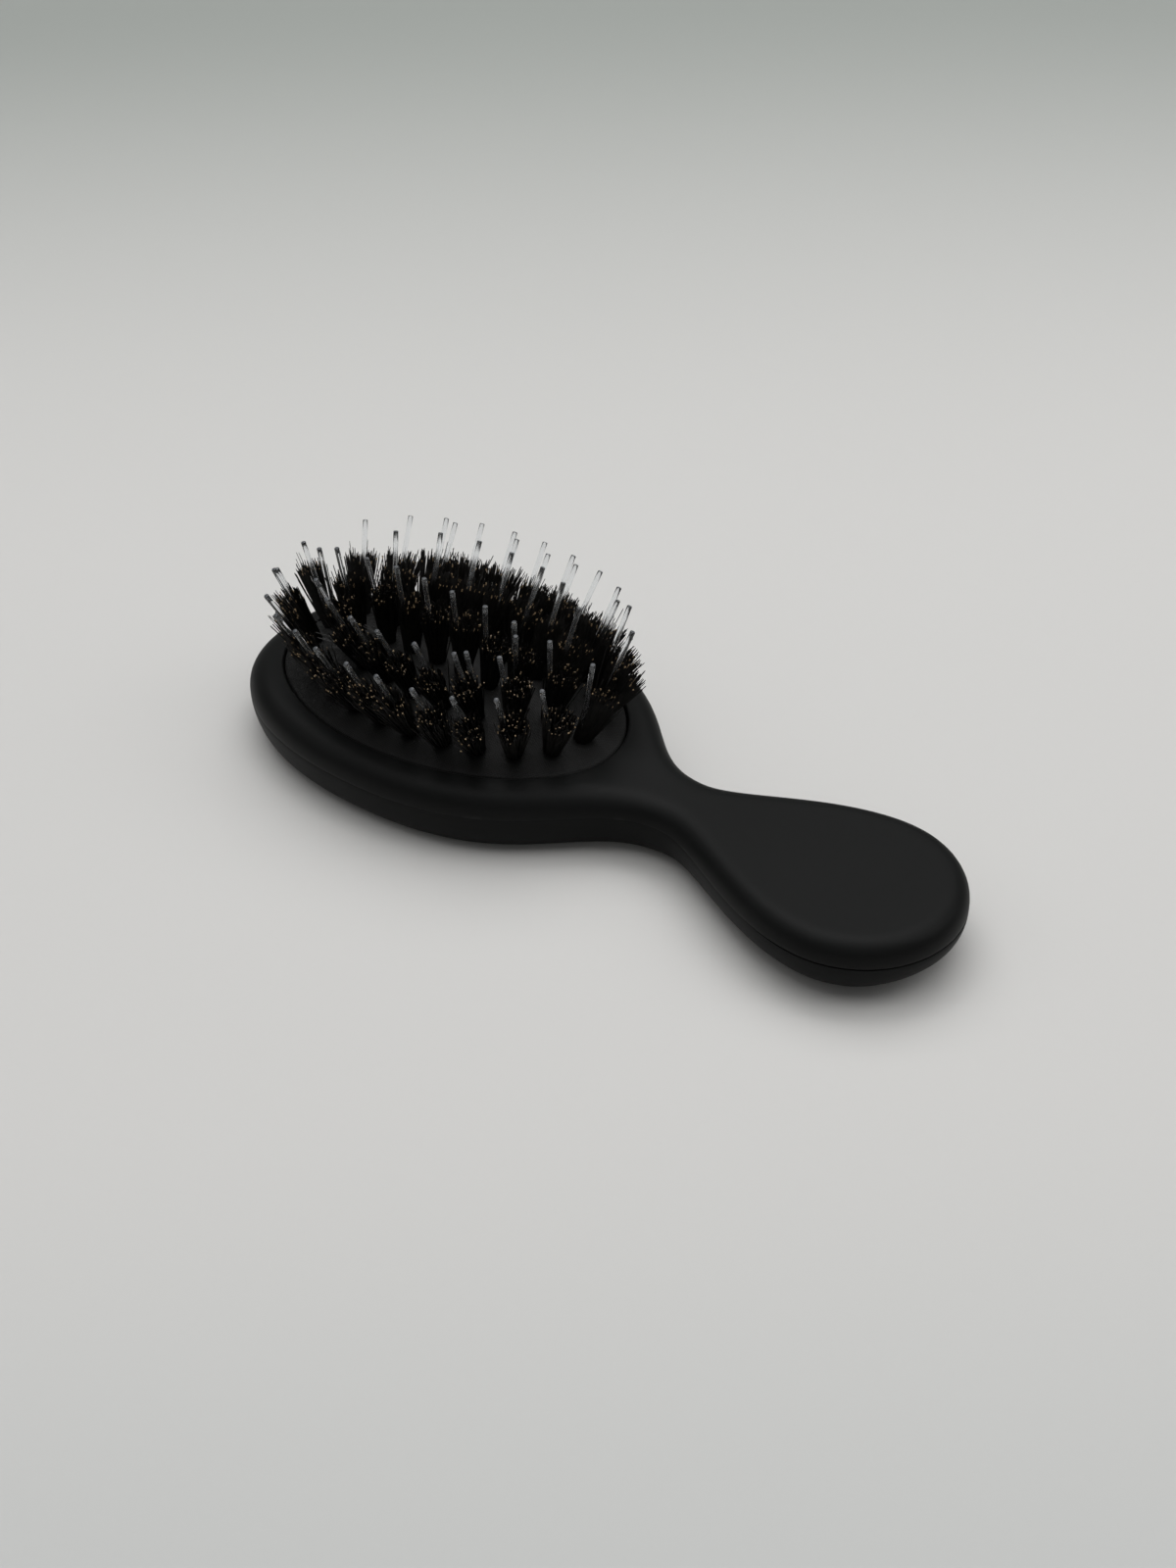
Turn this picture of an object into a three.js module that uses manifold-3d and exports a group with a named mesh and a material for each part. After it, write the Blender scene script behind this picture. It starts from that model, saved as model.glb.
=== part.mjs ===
// A pocket hair brush with an air cushion, boar bristle tufts and clear nylon pins.
// Millimetres. The brush lies on its back: +X runs towards the handle's end, +Z is up through the
// bristles, and the origin is under the middle of the outline, on the surface the brush lies on.

import * as THREE from 'three';
import { mergeVertices } from 'three/addons/utils/BufferGeometryUtils.js';
import Module from 'manifold-3d';

const wasm = await Module();
wasm.setup();

// Opening for the cushion
const openingHalfLength = 35;
const openingHalfWidth = 22.4;
const openingEggFactor = 0.02; // how much narrower the opening gets towards the handle

// Outline of the body
const bezel = 5.3; // width of the rim round the opening
const widestBehindCentre = 2.6; // the head's widest place, from the opening's centre towards its end
const openingToNeck = 15.5;
const neckHalfWidth = 6.1;
const neckToHandleWidest = 32.2;
const handleHalfWidth = 17.15;
const handleWidestToEnd = 17;

// Fullness of the outline's curves: the share of each span that a curve's own handle takes
const ovalFullness = 0.55;
const headEndFullness = 0.66;
const headShoulderFullness = 0.72;
const neckBlendFullness = 0.31;
const neckToHandleFullness = 0.2;
const handleShoulderFullness = 0.4;

// Heights of the body
const seamHeight = 7.6;
const headTopAboveSeam = 4.5;
const headEndTopAboveSeam = 3.4;
const neckTopAboveSeam = 3.7;
const handleTopAboveSeam = 4;
const headEndLift = 2.5; // how far the underside rises at the head's end
const neckLift = 0.3;
const handleEndLift = 1.1;
const headTopBlend = 11; // length over which the head's top rises from its end
const headToNeckBlend = 6; // how far before the opening's near end the top starts to fall
const neckToHandleBlend = 22; // length over which the top rises again to the handle
const neckFlatLength = 3;
const headLandBehind = 21; // the flat land under the head, from the opening's centre
const headLandAhead = 20;
const handleLandBehind = 14; // the flat land under the handle, from the handle's widest place
const handleLandAhead = 7;

// Rounding of the body's edges
const headEdgeReach = 5.1;
const handleEdgeReach = 3.6;
const headUndersideReach = 5;
const neckUndersideReach = 4.8;
const handleUndersideReach = 9.5;
const edgeSquareness = 2.5;
const undersideSquareness = 2.2;

// Shell
const wall = 1.8;
const partingGap = 0.2;
const lapThickness = 0.8;
const lapHeight = 0.8;
const lapClearance = 0.2;
const collarThickness = 1.5;
const collarDepth = 3.6; // below the head's top
const pegRadius = 1.25;
const pegClearance = 0.15;
const pegDepth = 5.2; // below the seam
const pegBottomGap = 0.3;
const socketWall = 1.2;
const socketTopGap = 0.4;
const cutMargin = 10; // how far cutting solids run past the body
const neckPegAhead = 6; // places of the pegs along the middle line
const handlePegBehind = 11;
const handlePegAhead = 6;

// Cushion
const rimBelowTop = 0.35;
const cushionClearance = 0.25; // round the cushion in the opening
const crownHeight = 4;
const crownRoundness = 0.8;
const skinThickness = 1.1;
const skinGap = 0.15;
const skinMargin = 2.6; // from the opening's edge to the edge of the skin that carries the tufts
const membrane = 1;
const cushionWall = 1.4;
const flangeReach = 1.2;
const flangeThickness = 1.2;
const flangeGap = 0.1;

// Tray under the cushion
const trayWall = 1.4;
const trayFloor = 1.4;
const trayFloorHeight = 3.2;
const trayRimThickness = 1.4;
const panInset = 7; // of the tray's floor from the opening's edge
const ribGap = 0.1;
const ribThickness = 1.4;
const ribInset = 8.2; // from the opening's edge
const ventRadius = 1.5;

// Tufts
const outerRingInset = 5.6; // of the tuft rings from the opening's edge
const middleRingInsetEnd = 12.6;
const middleRingInsetSide = 13.2;
const outerPitch = 6.2;
const middlePitch = 6.45;
const centrePitch = 6;
const centreRowLength = 30;
const slopeAtEnds = 0.18; // of the tufts along the cushion, outwards at both ends of the outer ring
const slopeToHandle = 0.05; // of all tufts
const slopeAtSides = 0.53; // of the tufts across the cushion
const slopeLength = 8; // how quickly they reach it, from the middle line
const strandsPerTuft = 7;
const tuftRootRadius = 0.98;
const tuftTipRadius = 2.1;
const strandRadius = 0.27;
const strandLength = 10.8;
const strandLengthSpread = 1.2;
const strandRoot = 0.65;
const raggedness = [2.4, 0.73]; // steps of the two waves that vary the strands' lengths

// Pins
const pinRadius = 0.42;
const pinLength = 17.4;
const pinRoot = 1;
const pinClearance = 0.12;

// Fineness of the faceted surfaces
const stationsPerSide = 44;
const edgeSteps = 4;
const ovalSteps = 32;
const postSides = 20;
const pinSides = 6;
const strandSides = 3;

// Places along X, from the opening's centre, then shifted so that the outline is centred
const headEndFromCentre = -(openingHalfLength + bezel);
const neckFromCentre = openingHalfLength + openingToNeck;
const handleWidestFromCentre = neckFromCentre + neckToHandleWidest;
const handleEndFromCentre = handleWidestFromCentre + handleWidestToEnd;
const openingX = -(headEndFromCentre + handleEndFromCentre) / 2;
const headEndX = openingX + headEndFromCentre;
const headWidestX = openingX - widestBehindCentre;
const neckX = openingX + neckFromCentre;
const handleWidestX = openingX + handleWidestFromCentre;
const handleEndX = openingX + handleEndFromCentre;
const headHalfWidth = openingHalfWidth + bezel;

// A value that runs smoothly through [x, value] stations
function alongBody(stations, x) {
  const first = stations[0];
  const last = stations[stations.length - 1];
  if (x <= first[0]) return first[1];
  if (x >= last[0]) return last[1];
  const next = stations.findIndex((station) => station[0] > x);
  const [x0, v0] = stations[next - 1];
  const [x1, v1] = stations[next];
  return v0 + (v1 - v0) * THREE.MathUtils.smoothstep(x, x0, x1);
}

const topStations = [
  [headEndX, seamHeight + headEndTopAboveSeam],
  [headEndX + bezel + headTopBlend, seamHeight + headTopAboveSeam],
  [openingX + openingHalfLength - headToNeckBlend, seamHeight + headTopAboveSeam],
  [neckX - neckFlatLength, seamHeight + neckTopAboveSeam],
  [neckX + neckToHandleBlend, seamHeight + handleTopAboveSeam],
  [handleEndX, seamHeight + handleTopAboveSeam],
];

const undersideStations = [
  [headEndX, headEndLift],
  [openingX - headLandBehind, 0],
  [openingX + headLandAhead, 0],
  [neckX, neckLift],
  [handleWidestX - handleLandBehind, 0],
  [handleWidestX + handleLandAhead, 0],
  [handleEndX, handleEndLift],
];

const edgeReachStations = [
  [openingX + openingHalfLength, headEdgeReach],
  [neckX + neckToHandleBlend, handleEdgeReach],
];

const undersideReachStations = [
  [openingX, headUndersideReach],
  [neckX, neckUndersideReach],
  [handleWidestX, handleUndersideReach],
];

const topAt = (x) => alongBody(topStations, x);
const undersideAt = (x) => alongBody(undersideStations, x);

// One side of the body's outline as four curves, from the head's end to the handle's end
function outlinePath() {
  const toNeck = neckX - headWidestX;
  const toHandle = handleWidestX - neckX;
  const headRise = headWidestX - headEndX;
  const path = new THREE.Path();
  path.moveTo(headEndX, 0);
  path.bezierCurveTo(
    headEndX, headEndFullness * headHalfWidth,
    headWidestX - ovalFullness * headRise, headHalfWidth,
    headWidestX, headHalfWidth,
  );
  path.bezierCurveTo(
    headWidestX + headShoulderFullness * toNeck, headHalfWidth,
    neckX - neckBlendFullness * toNeck, neckHalfWidth,
    neckX, neckHalfWidth,
  );
  path.bezierCurveTo(
    neckX + neckToHandleFullness * toHandle, neckHalfWidth,
    handleWidestX - handleShoulderFullness * toHandle, handleHalfWidth,
    handleWidestX, handleHalfWidth,
  );
  path.bezierCurveTo(
    handleWidestX + ovalFullness * handleWidestToEnd, handleHalfWidth,
    handleEndX, ovalFullness * handleHalfWidth,
    handleEndX, 0,
  );
  return path;
}

// Stations along the outline, each with its point and the direction that points out of the body
function outlineStations() {
  const path = outlinePath();
  const stations = [];
  for (let i = 0; i <= stationsPerSide; i++) {
    const u = i / stationsPerSide;
    const atEnd = i === 0 || i === stationsPerSide;
    const point = path.getPointAt(u);
    const tangent = path.getTangentAt(u);
    const out = atEnd ? new THREE.Vector2(i === 0 ? -1 : 1, 0) : new THREE.Vector2(-tangent.y, tangent.x);
    stations.push({
      point,
      out,
      topReach: alongBody(edgeReachStations, point.x),
      undersideReach: alongBody(undersideReachStations, point.x),
    });
  }
  return stations;
}

const stations = outlineStations();

// A closed ring inside the outline: inset and height may depend on the station and on x
function bodyRing(inset, height) {
  const side = stations.map((station) => {
    const p = station.point.clone().addScaledVector(station.out, -inset(station));
    return new THREE.Vector3(p.x, p.y, height(p.x));
  });
  side[0].y = 0;
  side[stationsPerSide].y = 0;
  const back = side.slice(1, -1).reverse().map((p) => new THREE.Vector3(p.x, -p.y, p.z));
  return [...side, ...back];
}

// A closed solid from rings that all have the same number of points, lowest first. Rings run
// clockwise seen from above. The caps are strips across the ring, or fans where asked.
function solidFromRings(rings, fanCaps = false) {
  const count = rings[0].length;
  const vertices = rings.flat();
  const triangles = [];
  for (let k = 0; k < rings.length - 1; k++) {
    for (let i = 0; i < count; i++) {
      const a = k * count + i;
      const b = k * count + ((i + 1) % count);
      triangles.push([a, a + count, b], [b, a + count, b + count]);
    }
  }
  const top = (rings.length - 1) * count;
  if (fanCaps) {
    for (let i = 1; i < count - 1; i++) {
      triangles.push([0, i, i + 1], [top, top + i + 1, top + i]);
    }
  } else {
    for (let i = 0; i < count / 2; i++) {
      const a = i;
      const b = i + 1;
      const c = (count - i) % count;
      const d = count - i - 1;
      if (a !== c) triangles.push([a, b, c], [top + a, top + c, top + b]);
      if (b !== d) triangles.push([b, d, c], [top + b, top + c, top + d]);
    }
  }
  return manifoldOf(vertices, triangles);
}

function manifoldOf(vertices, triangles) {
  const vertProperties = new Float32Array(vertices.flatMap((v) => [v.x, v.y, v.z]));
  const triVerts = new Uint32Array(triangles.flat());
  return new wasm.Manifold(new wasm.Mesh({ numProp: 3, vertProperties, triVerts }));
}

// The solid of a closed three.js geometry
function manifoldOfGeometry(geometry) {
  const bare = geometry.clone();
  bare.deleteAttribute('normal');
  bare.deleteAttribute('uv');
  const merged = mergeVertices(bare, 1e-4);
  return new wasm.Manifold(new wasm.Mesh({
    numProp: 3,
    vertProperties: merged.attributes.position.array,
    triVerts: new Uint32Array(merged.index.array),
  }));
}

function geometryOf(solid) {
  const mesh = solid.getMesh();
  const geometry = new THREE.BufferGeometry();
  geometry.setAttribute('position', new THREE.BufferAttribute(mesh.vertProperties, 3));
  geometry.setIndex(new THREE.BufferAttribute(mesh.triVerts, 1));
  const flat = geometry.toNonIndexed();
  flat.computeVertexNormals();
  return flat;
}

const fixed = (value) => () => value;

// Rings of a rounded edge: from the wall at `startHeight` to the flat at `flatHeight(x)`, reaching
// inwards by `reach(station)` beyond `inset`
function edgeRings(inset, reach, startHeight, flatHeight, squareness) {
  const rings = [];
  for (let k = 1; k <= edgeSteps; k++) {
    const angle = (k / edgeSteps) * (Math.PI / 2);
    const inward = 1 - Math.max(Math.cos(angle), 0) ** (2 / squareness);
    const along = Math.sin(angle) ** (2 / squareness);
    rings.push(bodyRing(
      (station) => inset + reach(station) * inward,
      (x) => startHeight + (flatHeight(x) - startHeight) * along,
    ));
  }
  return rings;
}

// Half lap: the back half's tongue stands inside the front half's thinned edge
const lapInset = wall - lapThickness;
const frontBottom = seamHeight + partingGap / 2;
const backTop = seamHeight - partingGap / 2;
const tongueTop = seamHeight + lapHeight;
const rebateTop = tongueTop + lapClearance;
const belowAll = -cutMargin;
const aboveAll = seamHeight + headTopAboveSeam + cutMargin;

function frontBlank() {
  return solidFromRings([
    bodyRing(fixed(0), fixed(frontBottom)),
    ...edgeRings(0, (station) => station.topReach, frontBottom, topAt, edgeSquareness),
  ]);
}

function frontCavity() {
  const ceiling = (x) => Math.max(topAt(x) - wall, rebateTop);
  return solidFromRings([
    bodyRing(fixed(wall), fixed(seamHeight - wall)),
    bodyRing(fixed(wall), fixed(frontBottom)),
    ...edgeRings(wall, (station) => station.topReach - wall / 2, frontBottom, ceiling, edgeSquareness),
  ]);
}

function bodyPrism(inset, bottom, top) {
  return solidFromRings([bodyRing(fixed(inset), fixed(bottom)), bodyRing(fixed(inset), fixed(top))]);
}

// A ring of the opening's oval: `share` scales it about its centre, `offset` widens its half axes
function ovalRing(share, offset, height) {
  const ring = [];
  for (let i = 0; i < ovalSteps; i++) {
    const angle = (-i / ovalSteps) * 2 * Math.PI;
    const c = Math.cos(angle);
    const s = Math.sin(angle);
    const x = openingX + share * (openingHalfLength + offset) * c;
    const y = share * (openingHalfWidth + offset) * (1 - openingEggFactor * c) * s;
    ring.push(new THREE.Vector3(x, y, height(x, share)));
  }
  return ring;
}

function ovalPrism(offset, bottom, top) {
  return solidFromRings([ovalRing(1, offset, fixed(bottom)), ovalRing(1, offset, fixed(top))], true);
}

function post(x, radius, bottom, top) {
  const geometry = new THREE.CylinderGeometry(radius, radius, top - bottom, postSides);
  geometry.rotateX(Math.PI / 2);
  geometry.translate(x, 0, (top + bottom) / 2);
  return manifoldOfGeometry(geometry);
}

const pegPlaces = [neckX + neckPegAhead, handleWidestX - handlePegBehind, handleWidestX + handlePegAhead];
const collarBottom = seamHeight + headTopAboveSeam - collarDepth;

// Front half: rounded top, hollow behind, with the opening's collar and the pegs
function frontShell() {
  const blank = frontBlank();
  let shell = blank.subtract(frontCavity());
  shell = shell.subtract(bodyPrism(lapInset - lapClearance, seamHeight - wall, rebateTop));
  const collar = ovalPrism(collarThickness, collarBottom, aboveAll).intersect(blank);
  shell = shell.add(collar).subtract(ovalPrism(0, belowAll, aboveAll));
  for (const x of pegPlaces) {
    const peg = post(x, pegRadius, seamHeight - pegDepth, topAt(x) - wall / 2);
    shell = shell.add(peg);
  }
  return shell;
}

// Back half: a tray with a rounded underside, flat lands to lie on, sockets and the cushion's rib
function backShell() {
  const reach = (station) => station.undersideReach;
  const innerReach = (station) => station.undersideReach - wall / 2;
  const floor = (x) => undersideAt(x) + wall;
  const blank = solidFromRings([
    ...edgeRings(0, reach, backTop, undersideAt, undersideSquareness).reverse(),
    bodyRing(fixed(0), fixed(backTop)),
  ]);
  const cavity = solidFromRings([
    ...edgeRings(wall, innerReach, backTop, floor, undersideSquareness).reverse(),
    bodyRing(fixed(wall), fixed(backTop)),
    bodyRing(fixed(wall), fixed(seamHeight + wall)),
  ]);
  const tongue = bodyPrism(lapInset, backTop - lapHeight, tongueTop)
    .subtract(bodyPrism(wall, belowAll, aboveAll));
  const inner = bodyPrism(wall / 2, belowAll, backTop).intersect(blank);
  const ribTop = trayFloorHeight - ribGap;
  const ribInside = ovalPrism(-ribInset - ribThickness, belowAll, aboveAll);
  const rib = ovalPrism(-ribInset, 0, ribTop).subtract(ribInside);
  let shell = blank.subtract(cavity).add(tongue).add(rib.intersect(inner));
  for (const x of pegPlaces) {
    const bore = pegRadius + pegClearance;
    const socket = post(x, bore + socketWall, 0, backTop - socketTopGap).intersect(inner);
    const hole = post(x, bore, seamHeight - pegDepth - pegBottomGap, aboveAll);
    shell = shell.add(socket).subtract(hole);
  }
  return shell;
}

// Cushion surface: a crown over the oval, whose edge follows the head's top
const crownAt = (share) => crownHeight * Math.max(1 - share * share, 0) ** crownRoundness;
const cushionTopAt = (x, share) => topAt(x) - rimBelowTop + crownAt(share);
const skinShare = 1 - skinMargin / openingHalfWidth;
const domeShares = [0.35, 0.62];

// A stack of oval rings closed by a point at the middle of its first and last ring
function ovalStack(rings) {
  const count = ovalSteps;
  const middle = (ring) => {
    const sum = ring.reduce((total, p) => total.add(p), new THREE.Vector3());
    return sum.divideScalar(count);
  };
  const vertices = [...rings.flat(), middle(rings[0]), middle(rings[rings.length - 1])];
  const first = rings.length * count;
  const last = first + 1;
  const top = (rings.length - 1) * count;
  const triangles = [];
  for (let i = 0; i < count; i++) {
    const next = (i + 1) % count;
    triangles.push([first, i, next], [last, top + next, top + i]);
    for (let k = 0; k < rings.length - 1; k++) {
      const a = k * count + i;
      const b = k * count + next;
      triangles.push([a, a + count, b], [b, a + count, b + count]);
    }
  }
  return manifoldOf(vertices, triangles);
}

// Rubber cushion: a crowned membrane with a recess for the skin, walls and a clamped flange
function cushionPad() {
  const recess = skinThickness + skinGap;
  const flangeTop = collarBottom - flangeGap;
  const flangeBottom = flangeTop - flangeThickness;
  const recessEdge = skinShare + skinGap / openingHalfWidth;
  const recessAt = (x, share) => cushionTopAt(x, share) - recess;
  const undersideOf = (x, share) => recessAt(x, share) - membrane;
  const innerOffset = -cushionClearance - cushionWall;
  return ovalStack([
    ...domeShares.map((share) => ovalRing(share, 0, undersideOf)),
    ovalRing(1, innerOffset, (x) => undersideOf(x, skinShare)),
    ovalRing(1, innerOffset, fixed(flangeBottom)),
    ovalRing(1, flangeReach, fixed(flangeBottom)),
    ovalRing(1, flangeReach, fixed(flangeTop)),
    ovalRing(1, -cushionClearance, fixed(flangeTop)),
    ovalRing(1, -cushionClearance, (x) => cushionTopAt(x, 1)),
    ovalRing((1 + recessEdge) / 2, 0, cushionTopAt),
    ovalRing(recessEdge, 0, cushionTopAt),
    ovalRing(recessEdge, 0, recessAt),
    ...[...domeShares].reverse().map((share) => ovalRing(share, 0, recessAt)),
  ]);
}

// The cushion's top skin, which carries the tufts
function cushionSkin() {
  const shares = [...domeShares, skinShare];
  const undersideOf = (x, share) => cushionTopAt(x, share) - skinThickness;
  return ovalStack([
    ...shares.map((share) => ovalRing(share, 0, undersideOf)),
    ...[...shares].reverse().map((share) => ovalRing(share, 0, cushionTopAt)),
  ]);
}

// Tray that clamps the flange and closes the air chamber: a flat rim round a sloping pan, with one vent
function backingPlate() {
  const top = collarBottom - 2 * flangeGap - flangeThickness;
  const rimBottom = top - trayRimThickness;
  const mouth = -cushionClearance - cushionWall;
  const outer = solidFromRings([
    ovalRing(1, -panInset, fixed(trayFloorHeight)),
    ovalRing(1, mouth + trayWall, fixed(rimBottom)),
    ovalRing(1, flangeReach, fixed(rimBottom)),
    ovalRing(1, flangeReach, fixed(top)),
  ], true);
  const chamber = solidFromRings([
    ovalRing(1, -panInset - trayWall, fixed(trayFloorHeight + trayFloor)),
    ovalRing(1, mouth, fixed(rimBottom)),
    ovalRing(1, mouth, fixed(aboveAll)),
  ], true);
  return outer.subtract(chamber).subtract(post(openingX, ventRadius, 0, aboveAll));
}

// Places evenly spaced along an ellipse, from the handle's side
function ringPlaces(halfLength, halfWidth, pitch) {
  const ellipse = new THREE.EllipseCurve(0, 0, halfLength, halfWidth);
  const count = Math.round(ellipse.getLength() / pitch);
  return ellipse.getSpacedPoints(count).slice(0, count);
}

function rowPlaces() {
  const gaps = Math.round(centreRowLength / centrePitch);
  const places = [];
  for (let i = 0; i <= gaps; i++) places.push(new THREE.Vector2(centreRowLength * (i / gaps - 0.5), 0));
  return places;
}

// Each tuft has a root point on the cushion, an axis that leans outwards, and two directions across it
function tuftFrames() {
  const outer = ringPlaces(openingHalfLength - outerRingInset, openingHalfWidth - outerRingInset, outerPitch);
  const middle = ringPlaces(
    openingHalfLength - middleRingInsetEnd, openingHalfWidth - middleRingInsetSide, middlePitch,
  );
  return [...outer, ...middle, ...rowPlaces()].map((place) => {
    const share = Math.hypot(place.x / openingHalfLength, place.y / openingHalfWidth);
    const x = openingX + place.x;
    const root = new THREE.Vector3(x, place.y, cushionTopAt(x, share));
    const slopeAlong = slopeToHandle + slopeAtEnds * place.x / (openingHalfLength - outerRingInset);
    const slopeAcross = slopeAtSides * Math.tanh(place.y / slopeLength);
    const axis = new THREE.Vector3(slopeAlong, slopeAcross, 1).normalize();
    const across = new THREE.Vector3(0, 1, 0).cross(axis).normalize();
    const along = new THREE.Vector3().crossVectors(axis, across);
    return { root, axis, across, along };
  });
}

const tufts = tuftFrames();

// A point of a tuft: `up` along its axis, `radius` and `angle` round it
function tuftPoint(tuft, up, radius, angle) {
  return tuft.root.clone()
    .addScaledVector(tuft.axis, up)
    .addScaledVector(tuft.across, radius * Math.cos(angle))
    .addScaledVector(tuft.along, radius * Math.sin(angle));
}

// A straight prism with `sides` faces between two ends, square to the tuft's axis
function tuftPrism(tuft, from, to, radius, sides) {
  const ringAt = (centre) => Array.from({ length: sides }, (_, i) => {
    const angle = (-i / sides) * 2 * Math.PI;
    return centre.clone()
      .addScaledVector(tuft.across, radius * Math.cos(angle))
      .addScaledVector(tuft.along, radius * Math.sin(angle));
  });
  return solidFromRings([ringAt(from), ringAt(to)], true);
}

// Lengths of the strands differ a little, in a fixed order
function strandLengthOf(index) {
  const [quick, slow] = raggedness;
  const wave = Math.sin(index * quick) * Math.sin(index * slow);
  return strandLength + strandLengthSpread * wave / 2;
}

// Boar bristles: strands round each tuft's axis, rooted in the cushion's skin, with pin holes
function boarBristles() {
  const strands = [];
  const holes = [];
  tufts.forEach((tuft, t) => {
    for (let i = 0; i < strandsPerTuft; i++) {
      const angle = (i / strandsPerTuft) * 2 * Math.PI;
      const from = tuftPoint(tuft, -strandRoot, tuftRootRadius, angle);
      const to = tuftPoint(tuft, strandLengthOf(t * strandsPerTuft + i), tuftTipRadius, angle);
      strands.push(tuftPrism(tuft, from, to, strandRadius, strandSides));
    }
    const below = tuftPoint(tuft, -2 * skinThickness, 0, 0);
    const above = tuftPoint(tuft, 2 * skinThickness, 0, 0);
    holes.push(tuftPrism(tuft, below, above, pinRadius + pinClearance, pinSides));
  });
  const rooted = wasm.Manifold.union([cushionSkin(), ...strands]);
  return rooted.subtract(wasm.Manifold.union(holes));
}

function nylonPin(tuft) {
  const from = tuftPoint(tuft, -pinRoot, 0, 0);
  const to = tuftPoint(tuft, pinLength, 0, 0);
  return tuftPrism(tuft, from, to, pinRadius, pinSides);
}

const softTouchBlack = { color: 0x1c1c1c, roughness: 0.62, metalness: 0 };
const innerBlack = { color: 0x161616, roughness: 0.5, metalness: 0 };
const cushionRubber = { color: 0x242424, roughness: 0.75, metalness: 0 };
const boarBlack = { color: 0x0d0b0a, roughness: 0.55, metalness: 0 };
const clearNylon = { color: 0xdfe6e8, roughness: 0.12, metalness: 0, transparent: true, opacity: 0.4 };

const group = new THREE.Group();

function addPiece(name, solid, finish) {
  const mesh = new THREE.Mesh(geometryOf(solid), new THREE.MeshStandardMaterial(finish));
  mesh.name = name;
  group.add(mesh);
}

addPiece('front_shell', frontShell(), softTouchBlack);
addPiece('back_shell', backShell(), softTouchBlack);
addPiece('cushion_backing_plate', backingPlate(), innerBlack);
addPiece('cushion_pad', cushionPad(), cushionRubber);
addPiece('boar_bristles', boarBristles(), boarBlack);
tufts.forEach((tuft, index) => {
  addPiece(`nylon_pin_${String(index + 1).padStart(2, '0')}`, nylonPin(tuft), clearNylon);
});

export default group;
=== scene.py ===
"""The finished look of a pocket hair brush, built round its CAD solids.

Lengths are in metres, in the CAD model's frame: +X runs along the brush to the handle's end, +Z up
through the bristles, and the brush lies on its back on z = 0.
"""

import math
from types import SimpleNamespace

import bmesh
import bpy
import numpy as np
from mathutils import Matrix, Vector


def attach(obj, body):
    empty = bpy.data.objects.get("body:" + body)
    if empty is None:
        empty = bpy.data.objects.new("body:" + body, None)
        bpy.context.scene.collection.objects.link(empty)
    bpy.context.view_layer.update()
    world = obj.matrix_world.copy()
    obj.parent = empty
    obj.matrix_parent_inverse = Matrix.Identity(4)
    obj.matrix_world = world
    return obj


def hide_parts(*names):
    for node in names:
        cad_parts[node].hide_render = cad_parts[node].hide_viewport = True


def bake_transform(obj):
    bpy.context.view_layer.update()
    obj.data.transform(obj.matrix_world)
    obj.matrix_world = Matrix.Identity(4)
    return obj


bl_info = {
    "name": "Cushion Hair Brush",
    "version": (1, 0, 0),
    "blender": (4, 5, 0),
    "location": "3D View > Sidebar > Brush",
    "description": "Builds a cushioned hair brush with boar tufts and clear pins",
    "category": "Object",
}

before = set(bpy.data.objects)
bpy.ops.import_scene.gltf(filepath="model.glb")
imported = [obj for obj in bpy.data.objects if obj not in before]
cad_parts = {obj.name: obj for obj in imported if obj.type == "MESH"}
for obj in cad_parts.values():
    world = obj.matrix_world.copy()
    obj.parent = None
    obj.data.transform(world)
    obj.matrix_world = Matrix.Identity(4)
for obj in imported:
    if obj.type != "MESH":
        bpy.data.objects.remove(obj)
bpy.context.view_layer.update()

MM = 0.001
PIN_NODES = sorted(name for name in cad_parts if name.startswith("nylon_pin_"))


def length(name, description, millimetres):
    """A property for a length, given in millimetres and kept in metres."""
    return bpy.props.FloatProperty(
        name=name, description=description, default=millimetres * MM, unit="LENGTH", precision=5
    )


def degrees(name, description, value):
    """A property for an angle, given in degrees and kept in radians."""
    return bpy.props.FloatProperty(
        name=name, description=description, default=math.radians(value), subtype="ANGLE", precision=4
    )


def share(name, description, value):
    """A property for a share between 0 and 1."""
    return bpy.props.FloatProperty(
        name=name, description=description, default=value, subtype="FACTOR", min=0, max=1, precision=4
    )


def number(name, description, value, subtype="NONE"):
    """A property for any other number."""
    return bpy.props.FloatProperty(
        name=name, description=description, default=value, subtype=subtype, precision=4
    )


def whole(name, description, value):
    """A property for a count."""
    return bpy.props.IntProperty(name=name, description=description, default=value, min=1)


def colour(name, description, value):
    """A property for a colour."""
    return bpy.props.FloatVectorProperty(
        name=name, description=description, default=value, subtype="COLOR", size=3, min=0, max=1
    )


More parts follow.
